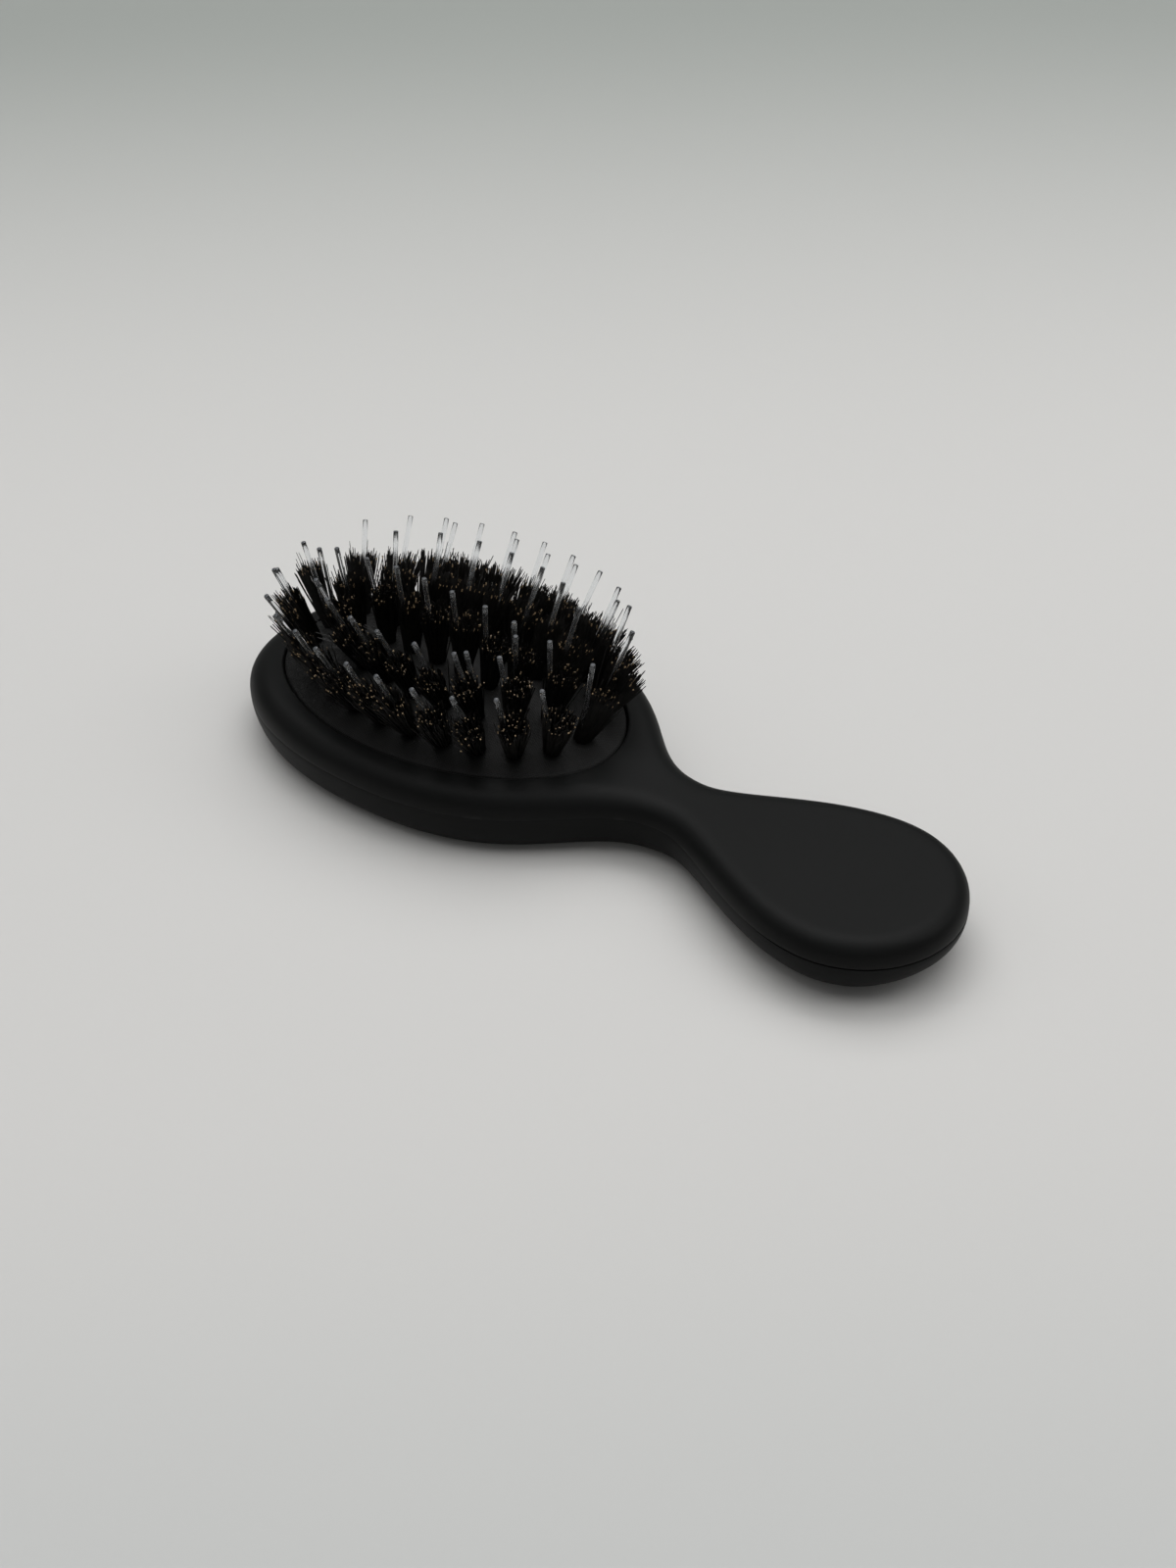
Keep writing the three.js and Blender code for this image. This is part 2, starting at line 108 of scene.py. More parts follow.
class BrushBodySizes(bpy.types.PropertyGroup):
    """Sizes of the two halves of the body."""

    opening_half_length: length("Opening half length", "Half the length of the cushion's opening", 35)
    opening_half_width: length("Opening half width", "Half the width of the cushion's opening", 22.4)
    opening_egg: share("Egg factor", "How much narrower the opening gets towards the handle", 0.02)
    bezel: length("Bezel", "Width of the rim round the opening", 5.3)
    widest_behind: length("Widest place", "From the opening's centre back to the widest place", 2.6)
    opening_to_neck: length("Opening to neck", "From the opening to the narrowest place", 15.5)
    neck_half_width: length("Neck half width", "Half the width of the neck", 6.1)
    neck_to_handle: length("Neck to handle", "From the neck to the handle's widest place", 32.2)
    handle_half_width: length("Handle half width", "Half the width of the handle", 17.15)
    handle_to_end: length("Handle to end", "From the handle's widest place to its end", 17)
    oval_fullness: share("Oval fullness", "Share of a quarter oval that its handles take", 0.55)
    head_end_fullness: share("Head end fullness", "Fullness of the outline at the head's end", 0.66)
    head_shoulder: share("Head shoulder", "Fullness of the outline behind the head", 0.72)
    neck_blend: share("Neck blend", "How long the outline stays narrow before the neck", 0.31)
    neck_to_handle_blend: share("Neck to handle blend", "How long it stays narrow after the neck", 0.2)
    handle_shoulder: share("Handle shoulder", "Fullness of the outline before the handle", 0.4)
    seam_height: length("Seam height", "Height of the parting line", 7.6)
    head_top: length("Head top", "Top of the head above the parting line", 4.5)
    head_end_top: length("Head end top", "Top of the head's end above the parting line", 3.4)
    neck_top: length("Neck top", "Top of the neck above the parting line", 3.7)
    handle_top: length("Handle top", "Top of the handle above the parting line", 4)
    head_end_lift: length("Head end lift", "How far the underside rises at the head's end", 2.5)
    neck_lift: length("Neck lift", "How far the underside rises at the neck", 0.3)
    handle_end_lift: length("Handle end lift", "How far it rises at the handle's end", 1.1)
    head_edge_reach: length("Head edge", "Reach of the rounding round the head's top", 4.8)
    handle_edge_reach: length("Handle edge", "Reach of the rounding round the handle's top", 3.6)
    head_underside: length("Head underside", "Reach of the rounding under the head", 5)
    neck_underside: length("Neck underside", "Reach of the rounding under the neck", 4.8)
    handle_underside: length("Handle underside", "Reach of the rounding under the handle", 9.5)
    edge_squareness: number("Edge squareness", "2 is an ellipse, more is squarer", 2.5)
    underside_squareness: number("Underside squareness", "2 is an ellipse, more is squarer", 2.2)
    wall: length("Wall", "Thickness of the shells", 1.8)
    head_gap: length("Head gap", "Gap between the halves along the head", 0.045)
    neck_gap: length("Neck gap", "Gap between the halves at the neck", 0.015)
    handle_gap: length("Handle gap", "Gap between the halves round the handle", 0.2)
    seam_round: share("Seam rounding", "Rounding of the parting line's edges, as a share of its gap", 0.6)
    lip_round: length("Lip rounding", "Rounding of the opening's edge", 0.35)
    collar_thickness: length("Collar thickness", "Wall of the collar round the cushion", 1.5)
    collar_depth: length("Collar depth", "Depth of the collar below the head's top", 3.6)


class BrushCushionSizes(bpy.types.PropertyGroup):
    """Sizes of the rubber cushion."""

    rim_below_top: length("Rim below top", "How far the rim lies below the head's top", 0.35)
    clearance: length("Clearance", "Gap round the cushion in the opening", 0.25)
    crown: length("Crown", "Height of the cushion's crown above its rim", 4)
    crown_roundness: number("Crown roundness", "Below 1 the crown is flatter in the middle", 0.8)
    thickness: length("Thickness", "Thickness of the rubber", 1.6)
    flange_reach: length("Flange reach", "How far the flange runs out under the collar", 1.2)
    flange_thickness: length("Flange thickness", "Thickness of the flange", 1.2)
    dimple_depth: length("Dimple depth", "How deep the rubber is drawn in at each tuft", 0.3)
    dimple_radius: length("Dimple radius", "Radius of that dimple", 1.7)
    unevenness: length("Unevenness", "Slow waves of the surface", 0.09)
    wrinkle_depth: length("Wrinkle depth", "Depth of the wrinkles at the head's end", 0.16)
    wrinkle_count: whole("Wrinkles", "Number of wrinkles at the head's end", 5)


class BrushTuftSizes(bpy.types.PropertyGroup):
    """Sizes of the boar tufts."""

    strands: whole("Strands", "Strands in each tuft", 200)
    root_radius: length("Root radius", "Radius of a tuft at the cushion", 1.35)
    tip_radius: length("Tip radius", "Radius of a tuft at its top", 2.75)
    rear_tip_radius: length("Rear tip radius", "Radius of the tufts along the far side", 4.3)
    strand_radius: length("Strand radius", "Radius of a strand at its root", 0.11)
    length: length("Length", "Length of the tufts above the cushion", 11.2)
    rear_shorter: length("Rear shorter", "How much shorter the tufts along the far side are", 1.3)
    ragged: length("Raggedness", "Spread of the strands' lengths", 1.5)
    stray_extra: length("Stray length", "How much longer the stray strands are", 3.4)
    stray_share: share("Stray share", "Share of the strands that are stray", 0.012)
    bead_radius: length("Light tip radius", "Radius of the split light tips", 0.14)
    tip_length: length("Tip length", "Length of the light tips", 0.4)
    light_below: length("Light tips below", "How far the light tips lie below the others", 0.2)
    tip_share: share("Tip share", "Share of the strands with a light tip", 0.18)
    lean_along: number("Lean along", "How much more than its pin a tuft leans to the handle", 0.14)
    lean_across: number("Lean across", "How much more than its pin it leans to the near side", 0.08)
    lean_ends: number("Lean at the ends", "How much more than its pin it leans outwards at both ends", 0.25)
    lean_back: number("Lean back", "How much more than its pin it leans to the far side there", 0.12)
    low_strays: whole("Low strays", "Short strands that lie low round the head's end, in each tuft", 7)
    low_length: length("Low stray length", "Length of those strands", 5)
    uneven_lean: number("Uneven lean", "Spread of the tufts' own lean", 0.06)
    root_depth: length("Root depth", "How deep the strands stand in the rubber", 0.6)
    seed: whole("Seed", "Start of the random numbers", 7)


class BrushPinSizes(bpy.types.PropertyGroup):
    """Sizes of the clear pins."""

    radius: length("Radius", "Radius of a pin", 0.44)
    cut_bevel: length("Cut bevel", "Bevel round the cut end", 0.07)
    sides: whole("Sides", "Sides of a pin", 16)
    bend: length("Bend", "How far a pin's end strays from straight", 0.5)
    row_lean: number("Row lean", "How much the middle row leans to the near side", 0.12)
    second_share: share("Second leg share", "Share of the pins whose second leg shows", 0.22)
    far_second_share: share("Far second leg share", "The same along the far side", 0.85)
    second_spread: length("Second leg spread", "How far the second leg's end stands off", 2.2)
    seed: whole("Seed", "Start of the random numbers", 21)


class BrushFinishes(bpy.types.PropertyGroup):
    """Colours of the brush and its stage."""

    body: colour("Body", "Soft-touch black", (0.0058, 0.0061, 0.0060))
    inner: colour("Inner plastic", "Moulded black", (0.016, 0.016, 0.016))
    rubber: colour("Rubber", "Dark grey rubber", (0.0092, 0.0092, 0.0089))
    bristle: colour("Bristle", "Black bristle", (0.0022, 0.0019, 0.0017))
    tip: colour("Bristle tip", "Golden brown tip", (0.56, 0.4, 0.225))
    nylon: colour("Nylon", "Clear nylon", (0.95, 0.965, 0.98))
    cut_nylon: colour("Cut nylon", "Pale cut end of a pin", (0.16, 0.172, 0.19))
    floor: colour("Floor", "Pale grey floor", (0.642, 0.636, 0.622))
    # Far floor and near floor are painted shade: the floor darkened where less light falls, far off and
    # close to the camera
    far_floor_shade: colour("Far floor", "Floor far behind the brush", (0.36, 0.38, 0.36))
    near_floor_shade: colour("Near floor", "Floor close to the camera", (0.55, 0.56, 0.55))


class BrushStageSizes(bpy.types.PropertyGroup):
    """The camera, the lamps and the floor."""

    camera_distance: length("Camera distance", "Distance of the camera from the origin's plane", 299.2)
    camera_azimuth: degrees("Camera azimuth", "Angle round the brush", 39.77)
    camera_elevation: degrees("Camera elevation", "Angle above the floor", 37.04)
    camera_roll: degrees("Camera roll", "Angle about the line of sight", -1.2)
    origin_x: number("Origin across", "Where the origin lies across a 1200 by 1600 picture", 597.03, "PIXEL")
    origin_y: number("Origin down", "Where the origin lies down that picture", 818.63, "PIXEL")
    focal: number("Focal length", "In pixels of that picture", 1800, "PIXEL")
    floor_half: length("Floor half size", "Half the width of the floor", 3000)
    sweep_distance: length("Sweep distance", "From the brush to where the backdrop rises", 1800)
    sweep_radius: length("Sweep radius", "Radius of the backdrop's curve", 600)
    sweep_height: length("Sweep height", "Height of the backdrop", 1500)


# The picture that the camera is fitted to, in pixels, and the width of the camera's sensor
PICTURE_WIDTH = 1200
PICTURE_HEIGHT = 1600
SENSOR = 36.0

# Fineness of the meshes
STATIONS = 241
CURVE_POINTS = 600
OVAL_POINTS = 4001
OVAL_STEPS = 640
EDGE_STEPS = 14
LIP_STEPS = 5
ROLL_STEPS = 4
FILL_COLUMNS = 12
END_STEPS = 16
CROWN_STEPS = 64
STRAND_SIDES = 3
PIN_POINTS = 9
SWEEP_STEPS = 24

# Top of the body, along X
HEAD_RISE = 11 * MM  # it is full this far inside the opening's outer end
HEAD_FALL = 6 * MM  # it starts to fall this far before the opening's inner end
NECK_LOW = 3 * MM  # it is lowest this far before the neck
NECK_TO_TOP = 22 * MM  # it is flat from this far past the neck

# Reach of the underside's flat lands, before and past the opening's middle and the handle's widest place
HEAD_REST = (21 * MM, 20 * MM)
HANDLE_REST = (14 * MM, 7 * MM)

# Gap between the halves
GAP_TIGHT = 20 * MM  # it is tight from this far before the opening's middle
GAP_OPENS = 12 * MM  # it starts to open this far before the handle's widest place
HEAD_END_GAP = 1.6  # its width at the head's end, in widths along the head

# Half lap at the parting line, and room inside the front half
LAP_HEIGHT = 1 * MM
LAP_WIDTH = 0.8 * MM
TONGUE_HEIGHT = 0.8 * MM
TONGUE_INSET = 1 * MM
SEAM_MIDDLE = 0.3  # share of the seam's rounding at its middle ring
LAP_ROOF = 0.2 * MM  # at least, from the lap's step up to the inside of the top
COLLAR_ROOM = 0.1 * MM  # beside the collar

# Rows of faces round the opening
END_SHARE = 1.04  # in half lengths from the opening's middle, where they leave the side
PAST_OPENING = 2 * MM  # from the opening's end, where they run straight across

# Cushion
ROLL_RADIUS = 0.3 * MM  # of the rolled edge
ROLL_LIFT = 0.02 * MM  # of that edge above the rim
FLANGE_ROOM = 0.1 * MM  # between flange and collar
RUBBER_WALL = 1.4 * MM
RING_SPACING = 1.15  # over 1, the rings lie closer near the rim
LAST_REACH = 0.993  # of the last ring before the rolled edge
UNDER_REACHES = (0.8, 0.6, 0.4, 0.2)  # of the rings under the crown

# Dimple at a tuft and the ridge round it, over the distance in dimple radii
DIMPLE_FALL = 1.6
RIDGE_PLACE = 1.35
RIDGE_FALL = 7
RIDGE_HEIGHT = 0.35  # in depths of the dimple

# Slow waves of the rubber, in radians a metre
WAVE_ALONG = 310
WAVE_ACROSS = 275
WAVE_SKEW = 120
BEND_RATE = 220
WAVE_BEND = 1.7  # radians
RIM_CALM = 8  # they fade out over the last eighth of the way to the rim

# Wrinkles of the rubber: the limits that each is drawn between
WRINKLE_ANGLES = (-1.1, 0.75)  # radians round the opening from the head's end
WRINKLE_WIDTHS = (0.012, 0.02)  # radians
WRINKLE_STARTS = (0.84, 0.89)  # shares of the way to the rim
WRINKLE_ENDS = (0.93, 0.975)
WRINKLE_SLANTS = (-1.2, 1.2)  # radians over the whole way
WRINKLE_DEPTHS = (0.5, 1)
WRINKLE_FADE = 0.02  # share of the way over which an end fades
WRINKLE_SEED = 5

# Rows of tufts
OUTER_RING = 0.84  # share of the opening's half length at which the outer ring stands
FAR_ROW = 9 * MM  # from the middle line to the rows along the far side
MIDDLE_ROW = 4 * MM  # how far the middle row's lean reaches across

# Limits and spreads of a tuft and its strands, as factors of their sizes
TUFT_FLARE = 0.9  # below 1, a tuft spreads sooner
TUFT_LENGTHS = (0.96, 1.03)
TUFT_SPREADS = (0.9, 1.12)
STRAND_SPREADS = (0.8, 1.12)
LOOSE_SHARE = 0.05  # share of the strands that stand off
LOOSE_SPREADS = (1.2, 1.6)
STRAY_LENGTHS = (0.4, 1)
STRAY_THICKNESS = 0.7
LENGTH_SPREAD = 0.5
LIGHT_SPREAD = 0.22  # the same for strands with a light tip
THICKNESSES = (0.75, 1.15)
TAPER = (1, 1, 0.95, 0.9, 0.5)  # at the stations from root to tip
MIDDLE_STATIONS = (0.3, 0.66)
TIP_LENGTHS = (0.6, 1.4)
TIP_SIZES = (0.45, 1.15)
TIP_NECK = 0.75  # size of a light tip where it starts
REAR_FEWER = 0.35  # how many fewer light tips the far side has
LONGEST = 1.3  # a strand spreads up to this height, in lengths of its tuft
BEND_SPREAD = 0.4 * MM

# A tuft's top lies lower at its edge, and in its middle, where the pin stands
EDGE_DROP = 0.5 * MM
MIDDLE_DROP = 1.4 * MM
MIDDLE_REACH = 0.45

# Low strays
LOW_SIDE = -0.4  # they start this share of the half length towards the head's end
LOW_AT_END = 0.05
LOW_RISE = 0.12
LOW_SPREAD = 0.22
LOW_FLATNESS = (1, 1, 0.3)
LOW_FOOT = 0.35 * MM  # height of their feet on the rubber
LOW_REACH = 0.94  # share of the opening that they stay inside

# Pins
PIN_FAR = 4 * MM  # beyond the far row's line, where a pin is wholly on the far side
PIN_ROOT_DEPTH = 1 * MM
PIN_STRAY = 0.6
SECOND_FOOT = 2.1  # from leg to leg, in radii
SECOND_TURN = 0.6
SECOND_SPREADS = (0.6, 1.1)
SECOND_SHORTER = (0.02, 0.12)  # shares of the pin


class MeshDraft:
    """Vertices and faces of a mesh in the making."""

    def __init__(self):
        self.vertices = []
        self.faces = []

    def add(self, points):
        """Adds points and returns their numbers."""
        start = len(self.vertices)
        self.vertices.extend([tuple(p) for p in points])
        return np.arange(start, start + len(points))

    def bridge(self, a, b, closed=True):
        """Joins two rows of the same number of vertices with quads."""
        count = len(a)
        for i in range(count if closed else count - 1):
            j = (i + 1) % count
            corners = []
            for v in (int(a[i]), int(a[j]), int(b[j]), int(b[i])):
                if v not in corners:
                    corners.append(v)
            if len(corners) > 2:
                self.faces.append(corners)

    def loft(self, rings):
        """Adds closed rings of points, joins them, and returns their numbers."""
        rows = [self.add(ring) for ring in rings]
        for a, b in zip(rows, rows[1:]):
            self.bridge(a, b)
        return rows

    def fan(self, ring, middle):
        """Joins a closed ring to one new vertex."""
        (centre,) = self.add([middle])
        for i, j in zip(ring, np.roll(ring, -1)):
            self.faces.append([int(i), int(j), int(centre)])

    def piece(self, name, sharp_angle=40):
        """Makes an object with smooth shading and sharp edges over an angle."""
        mesh = bpy.data.meshes.new(name)
        mesh.from_pydata(self.vertices, [], self.faces)
        work = bmesh.new()
        work.from_mesh(mesh)
        bmesh.ops.recalc_face_normals(work, faces=work.faces)
        work.to_mesh(mesh)
        work.free()
        return smooth_piece(name, mesh, sharp_angle)


def smooth_piece(name, mesh, sharp_angle):
    """An object of a mesh, smooth but for edges over an angle."""
    mesh.shade_smooth()
    mesh.set_sharp_from_angle(angle=math.radians(sharp_angle))
    thing = bpy.data.objects.new(name, mesh)
    bpy.context.scene.collection.objects.link(thing)
    return thing


def mirrored(side):
    """A closed ring: points on one side of the middle line, and back on the other."""
    return np.concatenate([side, side[-2:0:-1] * (1, -1, 1)])


def raised(flat, height):
    """Flat points at a height, which is a number or a function of X."""
    z = height(flat[:, 0]) if callable(height) else np.full(len(flat), float(height))
    return np.column_stack([flat, z])


def smooth_through(stations, x):
    """Values that run smoothly through (place, value) stations."""
    places = np.array([s[0] for s in stations])
    values = np.array([s[1] for s in stations])
    x = np.asarray(x, float)
    k = np.clip(np.searchsorted(places, x, side="right") - 1, 0, len(places) - 2)
    t = np.clip((x - places[k]) / (places[k + 1] - places[k]), 0, 1)
    return values[k] + (values[k + 1] - values[k]) * t * t * (3 - 2 * t)


def body_places(s):
    """Places along X, counted so that the outline is centred."""
    head_end = -(s.opening_half_length + s.bezel)
    neck = s.opening_half_length + s.opening_to_neck
    handle_widest = neck + s.neck_to_handle
    handle_end = handle_widest + s.handle_to_end
    opening = -(head_end + handle_end) / 2
    return SimpleNamespace(
        opening=opening,
        head_end=opening + head_end,
        head_widest=opening - s.widest_behind,
        neck=opening + neck,
        handle_widest=opening + handle_widest,
        handle_end=opening + handle_end,
    )


def top_at(s, x):
    """Height of the body's top."""
    at = body_places(s)
    seam = s.seam_height
    return smooth_through(
        [
            (at.head_end, seam + s.head_end_top),
            (at.head_end + s.bezel + HEAD_RISE, seam + s.head_top),
            (at.opening + s.opening_half_length - HEAD_FALL, seam + s.head_top),
            (at.neck - NECK_LOW, seam + s.neck_top),
            (at.neck + NECK_TO_TOP, seam + s.handle_top),
            (at.handle_end, seam + s.handle_top),
        ],
        x,
    )


def underside_at(s, x):
    """Height of the body's underside."""
    at = body_places(s)
    return smooth_through(
        [
            (at.head_end, s.head_end_lift),
            (at.opening - HEAD_REST[0], 0),
            (at.opening + HEAD_REST[1], 0),
            (at.neck, s.neck_lift),
            (at.handle_widest - HANDLE_REST[0], 0),
            (at.handle_widest + HANDLE_REST[1], 0),
            (at.handle_end, s.handle_end_lift),
        ],
        x,
    )


def gap_at(s, x):
    """Gap between the two halves: tight along the head and neck, open round the handle."""
    at = body_places(s)
    return smooth_through(
        [
            (at.head_end, HEAD_END_GAP * s.head_gap),
            (at.opening - GAP_TIGHT, s.head_gap),
            (at.opening + s.opening_half_length, s.neck_gap),
            (at.handle_widest - GAP_OPENS, s.neck_gap),
            (at.handle_widest, s.handle_gap),
            (at.handle_end, s.handle_gap),
        ],
        x,
    )


def bezier(points, count):
    """Points along one cubic curve."""
    t = np.linspace(0, 1, count)[:, None]
    a, b, c, d = (np.array(p, float) for p in points)
    return (1 - t) ** 3 * a + 3 * (1 - t) ** 2 * t * b + 3 * (1 - t) * t * t * c + t**3 * d


def outline(s):
    """One side of the outline: evenly spaced points, and the directions out of the body."""
    at = body_places(s)
    half = s.opening_half_width + s.bezel
    neck = s.neck_half_width
    handle = s.handle_half_width
    rise = at.head_widest - at.head_end
    to_neck = at.neck - at.head_widest
    to_handle = at.handle_widest - at.neck
    curves = [
        [
            (at.head_end, 0),
            (at.head_end, s.head_end_fullness * half),
            (at.head_widest - s.oval_fullness * rise, half),
            (at.head_widest, half),
        ],
        [
            (at.head_widest, half),
            (at.head_widest + s.head_shoulder * to_neck, half),
            (at.neck - s.neck_blend * to_neck, neck),
            (at.neck, neck),
        ],
        [
            (at.neck, neck),
            (at.neck + s.neck_to_handle_blend * to_handle, neck),
            (at.handle_widest - s.handle_shoulder * to_handle, handle),
            (at.handle_widest, handle),
        ],
        [
            (at.handle_widest, handle),
            (at.handle_widest + s.oval_fullness * s.handle_to_end, handle),
            (at.handle_end, s.oval_fullness * handle),
            (at.handle_end, 0),
        ],
    ]
    dense = np.concatenate([bezier(c, CURVE_POINTS)[:-1] for c in curves] + [np.array([curves[3][3]])])
    run = np.concatenate([[0], np.cumsum(np.linalg.norm(np.diff(dense, axis=0), axis=1))])
    even = np.linspace(0, run[-1], STATIONS)
    points = np.stack([np.interp(even, run, dense[:, 0]), np.interp(even, run, dense[:, 1])], 1)
    tangent = np.gradient(points, axis=0)
    tangent /= np.linalg.norm(tangent, axis=1)[:, None]
    out = np.stack([-tangent[:, 1], tangent[:, 0]], 1)
    out[0] = (-1, 0)
    out[-1] = (1, 0)
    return points, out


class BodySide:
    """Rings of the body, from insets and heights along its outline."""

    def __init__(self, s):
        at = body_places(s)
        self.points, self.out = outline(s)
        x = self.points[:, 0]
        self.top_reach = smooth_through(
            [
                (at.opening + s.opening_half_length, s.head_edge_reach),
                (at.neck + NECK_TO_TOP, s.handle_edge_reach),
            ],
            x,
        )
        self.under_reach = smooth_through(
            [
                (at.opening, s.head_underside),
                (at.neck, s.neck_underside),
                (at.handle_widest, s.handle_underside),
            ],
            x,
        )

    def ring(self, inset, height):
        """A closed ring: the side from the head's end to the handle's, and back on the other."""
        inset = np.broadcast_to(inset, (STATIONS,))
        side = self.points - self.out * inset[:, None]
        side[0, 1] = side[-1, 1] = 0
        return mirrored(raised(side, height))

    def rounding(self, inset, reach, start, flat, squareness):
        """Rings of a rounded edge, from the wall at a height to the flat."""
        rings = []
        for k in range(EDGE_STEPS + 1):
            angle = k / EDGE_STEPS * math.pi / 2
            inward = 1 - max(math.cos(angle), 0) ** (2 / squareness)
            along = math.sin(angle) ** (2 / squareness)
            rings.append(
                self.ring(
                    inset + reach * inward,
                    lambda x, along=along: start(x) + (flat(x) - start(x)) * along,
                )
            )
        return rings


def row_between(draft, a, b, height, columns):
    """Numbers of a straight row from one vertex to another, with new points at a height between."""
    start, end = np.array(draft.vertices[a]), np.array(draft.vertices[b])
    inner = start + (end - start) * np.linspace(0, 1, columns + 1)[1:-1, None]
    inner[:, 2] = height(inner[:, 0])
    return np.concatenate([[a], draft.add(inner), [b]])


def fill_across(draft, ring, height, first=0, start=None, columns=FILL_COLUMNS):
    """Closes a ring with rows across the middle line, from row `first` to the handle's end."""
    for i in range(first, STATIONS):
        a, b = int(ring[i]), int(ring[-i % len(ring)])
        if i in (0, STATIONS - 1):
            row = np.full(columns + 1, a)
        else:
            row = row_between(draft, a, b, height, columns)
        if start is not None:
            draft.bridge(start, row, closed=False)
        start = row


def fill_past_opening(draft, ring, start, split, level, height):
    """Rows that turn from the opening's end into straight ones. Returns the last of them."""
    last = start
    first_points = np.array([draft.vertices[int(v)] for v in start])
    v = np.linspace(0, 1, len(start))[:, None]
    ends = [np.array(draft.vertices[int(ring[k])]) for k in (level, -level)]
    last_points = ends[0] + (ends[1] - ends[0]) * v
    for i in range(split + 1, level):
        w = (i - split) / (level - split)
        points = (1 - w) * first_points + w * last_points
        near, far = (np.array(draft.vertices[int(ring[k])]) for k in (i, -i))
        points = points + (1 - v) * (near - points[0]) + v * (far - points[-1])
        inner = points[1:-1]
        inner[:, 2] = height(inner[:, 0])
        this = np.concatenate([[ring[i]], draft.add(inner), [ring[-i]]])
        draft.bridge(last, this, closed=False)
        last = this
    return last


def oval(s, offset, angle):
    """Points of the opening's oval, widened by an offset."""
    at = body_places(s)
    c, n = np.cos(angle), np.sin(angle)
    x = at.opening + (s.opening_half_length + offset) * c
    y = (s.opening_half_width + offset) * (1 - s.opening_egg * c) * n
    return np.stack([x, y], 1)


def opening_angles(s, side, split):
    """Angles round the oval: beside the stations up to the split, then evenly to its end."""
    fine = np.linspace(math.pi, 0, OVAL_POINTS)
    edge = oval(s, 0, fine)
    near = np.array([fine[np.argmin(np.sum((edge - p) ** 2, 1))] for p in side[: split + 1]])
    near[0] = math.pi
    return np.concatenate([near, np.linspace(near[-1], 0, END_STEPS + 1)[1:]])


def fill_round_opening(draft, ring, split, angles, offset, s, height):
    """Fills between the ring and the opening's oval. Returns the oval's ring of numbers."""
    end = body_places(s).opening + s.opening_half_length + offset
    level = next(i for i in range(STATIONS) if draft.vertices[int(ring[i])][0] > end + PAST_OPENING)
    inner = draft.add(mirrored(raised(oval(s, offset, angles), height)))

    def row(i):
        return row_between(draft, int(ring[i]), int(inner[i]), height, FILL_COLUMNS // 2)

    first = row(0)
    ends = []
    for sign in (1, -1):
        last = first
        for i in range(1, split + 1):
            this = row(i * sign)
            draft.bridge(last, this, closed=False)
            last = this
        ends.append(last)
    start = np.concatenate([ends[0], inner[split + 1 : len(inner) - split], ends[1][::-1]])
    last = fill_past_opening(draft, ring, start, split, level, height)
    fill_across(draft, ring, height, level, last, len(last) - 1)
    return inner


def make_front_shell(s):
    """Front half of the body: rounded top, opening with collar, thinned lip at the seam."""
    body = BodySide(s)
    at = body_places(s)
    draft = MeshDraft()
    lap_top = lambda x: np.full(np.shape(x), s.seam_height + LAP_HEIGHT)
    top = lambda x: top_at(s, x)
    bottom = lambda x: s.seam_height + gap_at(s, x) / 2
    lifted = lambda share_up: lambda x: bottom(x) + gap_at(s, x) * s.seam_round * share_up
    ceiling = lambda x: np.maximum(top_at(s, x) - s.wall, lap_top(x) + LAP_ROOF)
    x = body.points[:, 0]
    r = gap_at(s, x) * s.seam_round
    outer = body.rounding(0, body.top_reach, lifted(1), top, s.edge_squareness)[::-1]
    edge = [
        body.ring(r * SEAM_MIDDLE, lifted(SEAM_MIDDLE)),
        body.ring(r, bottom),
        body.ring(LAP_WIDTH, bottom),
        body.ring(LAP_WIDTH, lap_top),
    ]
    room = s.bezel - s.collar_thickness - s.wall - COLLAR_ROOM
    inner_reach = smooth_through(
        [
            (at.opening + s.opening_half_length, room - 2 * COLLAR_ROOM),
            (at.neck + NECK_TO_TOP, s.handle_edge_reach - s.wall / 2),
        ],
        x,
    )
    inner = body.rounding(s.wall, inner_reach, lap_top, ceiling, s.edge_squareness)
    rows = draft.loft(outer + edge + inner)
    split = int(np.argmax(x - at.opening > END_SHARE * s.opening_half_length))
    angles = opening_angles(s, body.points, split)
    lip_ring = fill_round_opening(draft, rows[0], split, angles, s.lip_round, s, top)
    ceiling_ring = fill_round_opening(
        draft, rows[-1], split, angles, s.collar_thickness, s, ceiling
    )
    steps = []
    for k in range(1, LIP_STEPS + 1):
        angle = k / LIP_STEPS * math.pi / 2
        drop = s.lip_round * (1 - math.cos(angle))
        steps.append((s.lip_round * (1 - math.sin(angle)), lambda x, drop=drop: top(x) - drop))
    collar_bottom = s.seam_height + s.head_top - s.collar_depth
    steps += [(0, collar_bottom), (s.collar_thickness, collar_bottom)]
    last = lip_ring
    for offset, height in steps:
        this = draft.add(mirrored(raised(oval(s, offset, angles), height)))
        draft.bridge(last, this)
        last = this
    draft.bridge(last, ceiling_ring)
    return draft.piece("front_shell_skin")


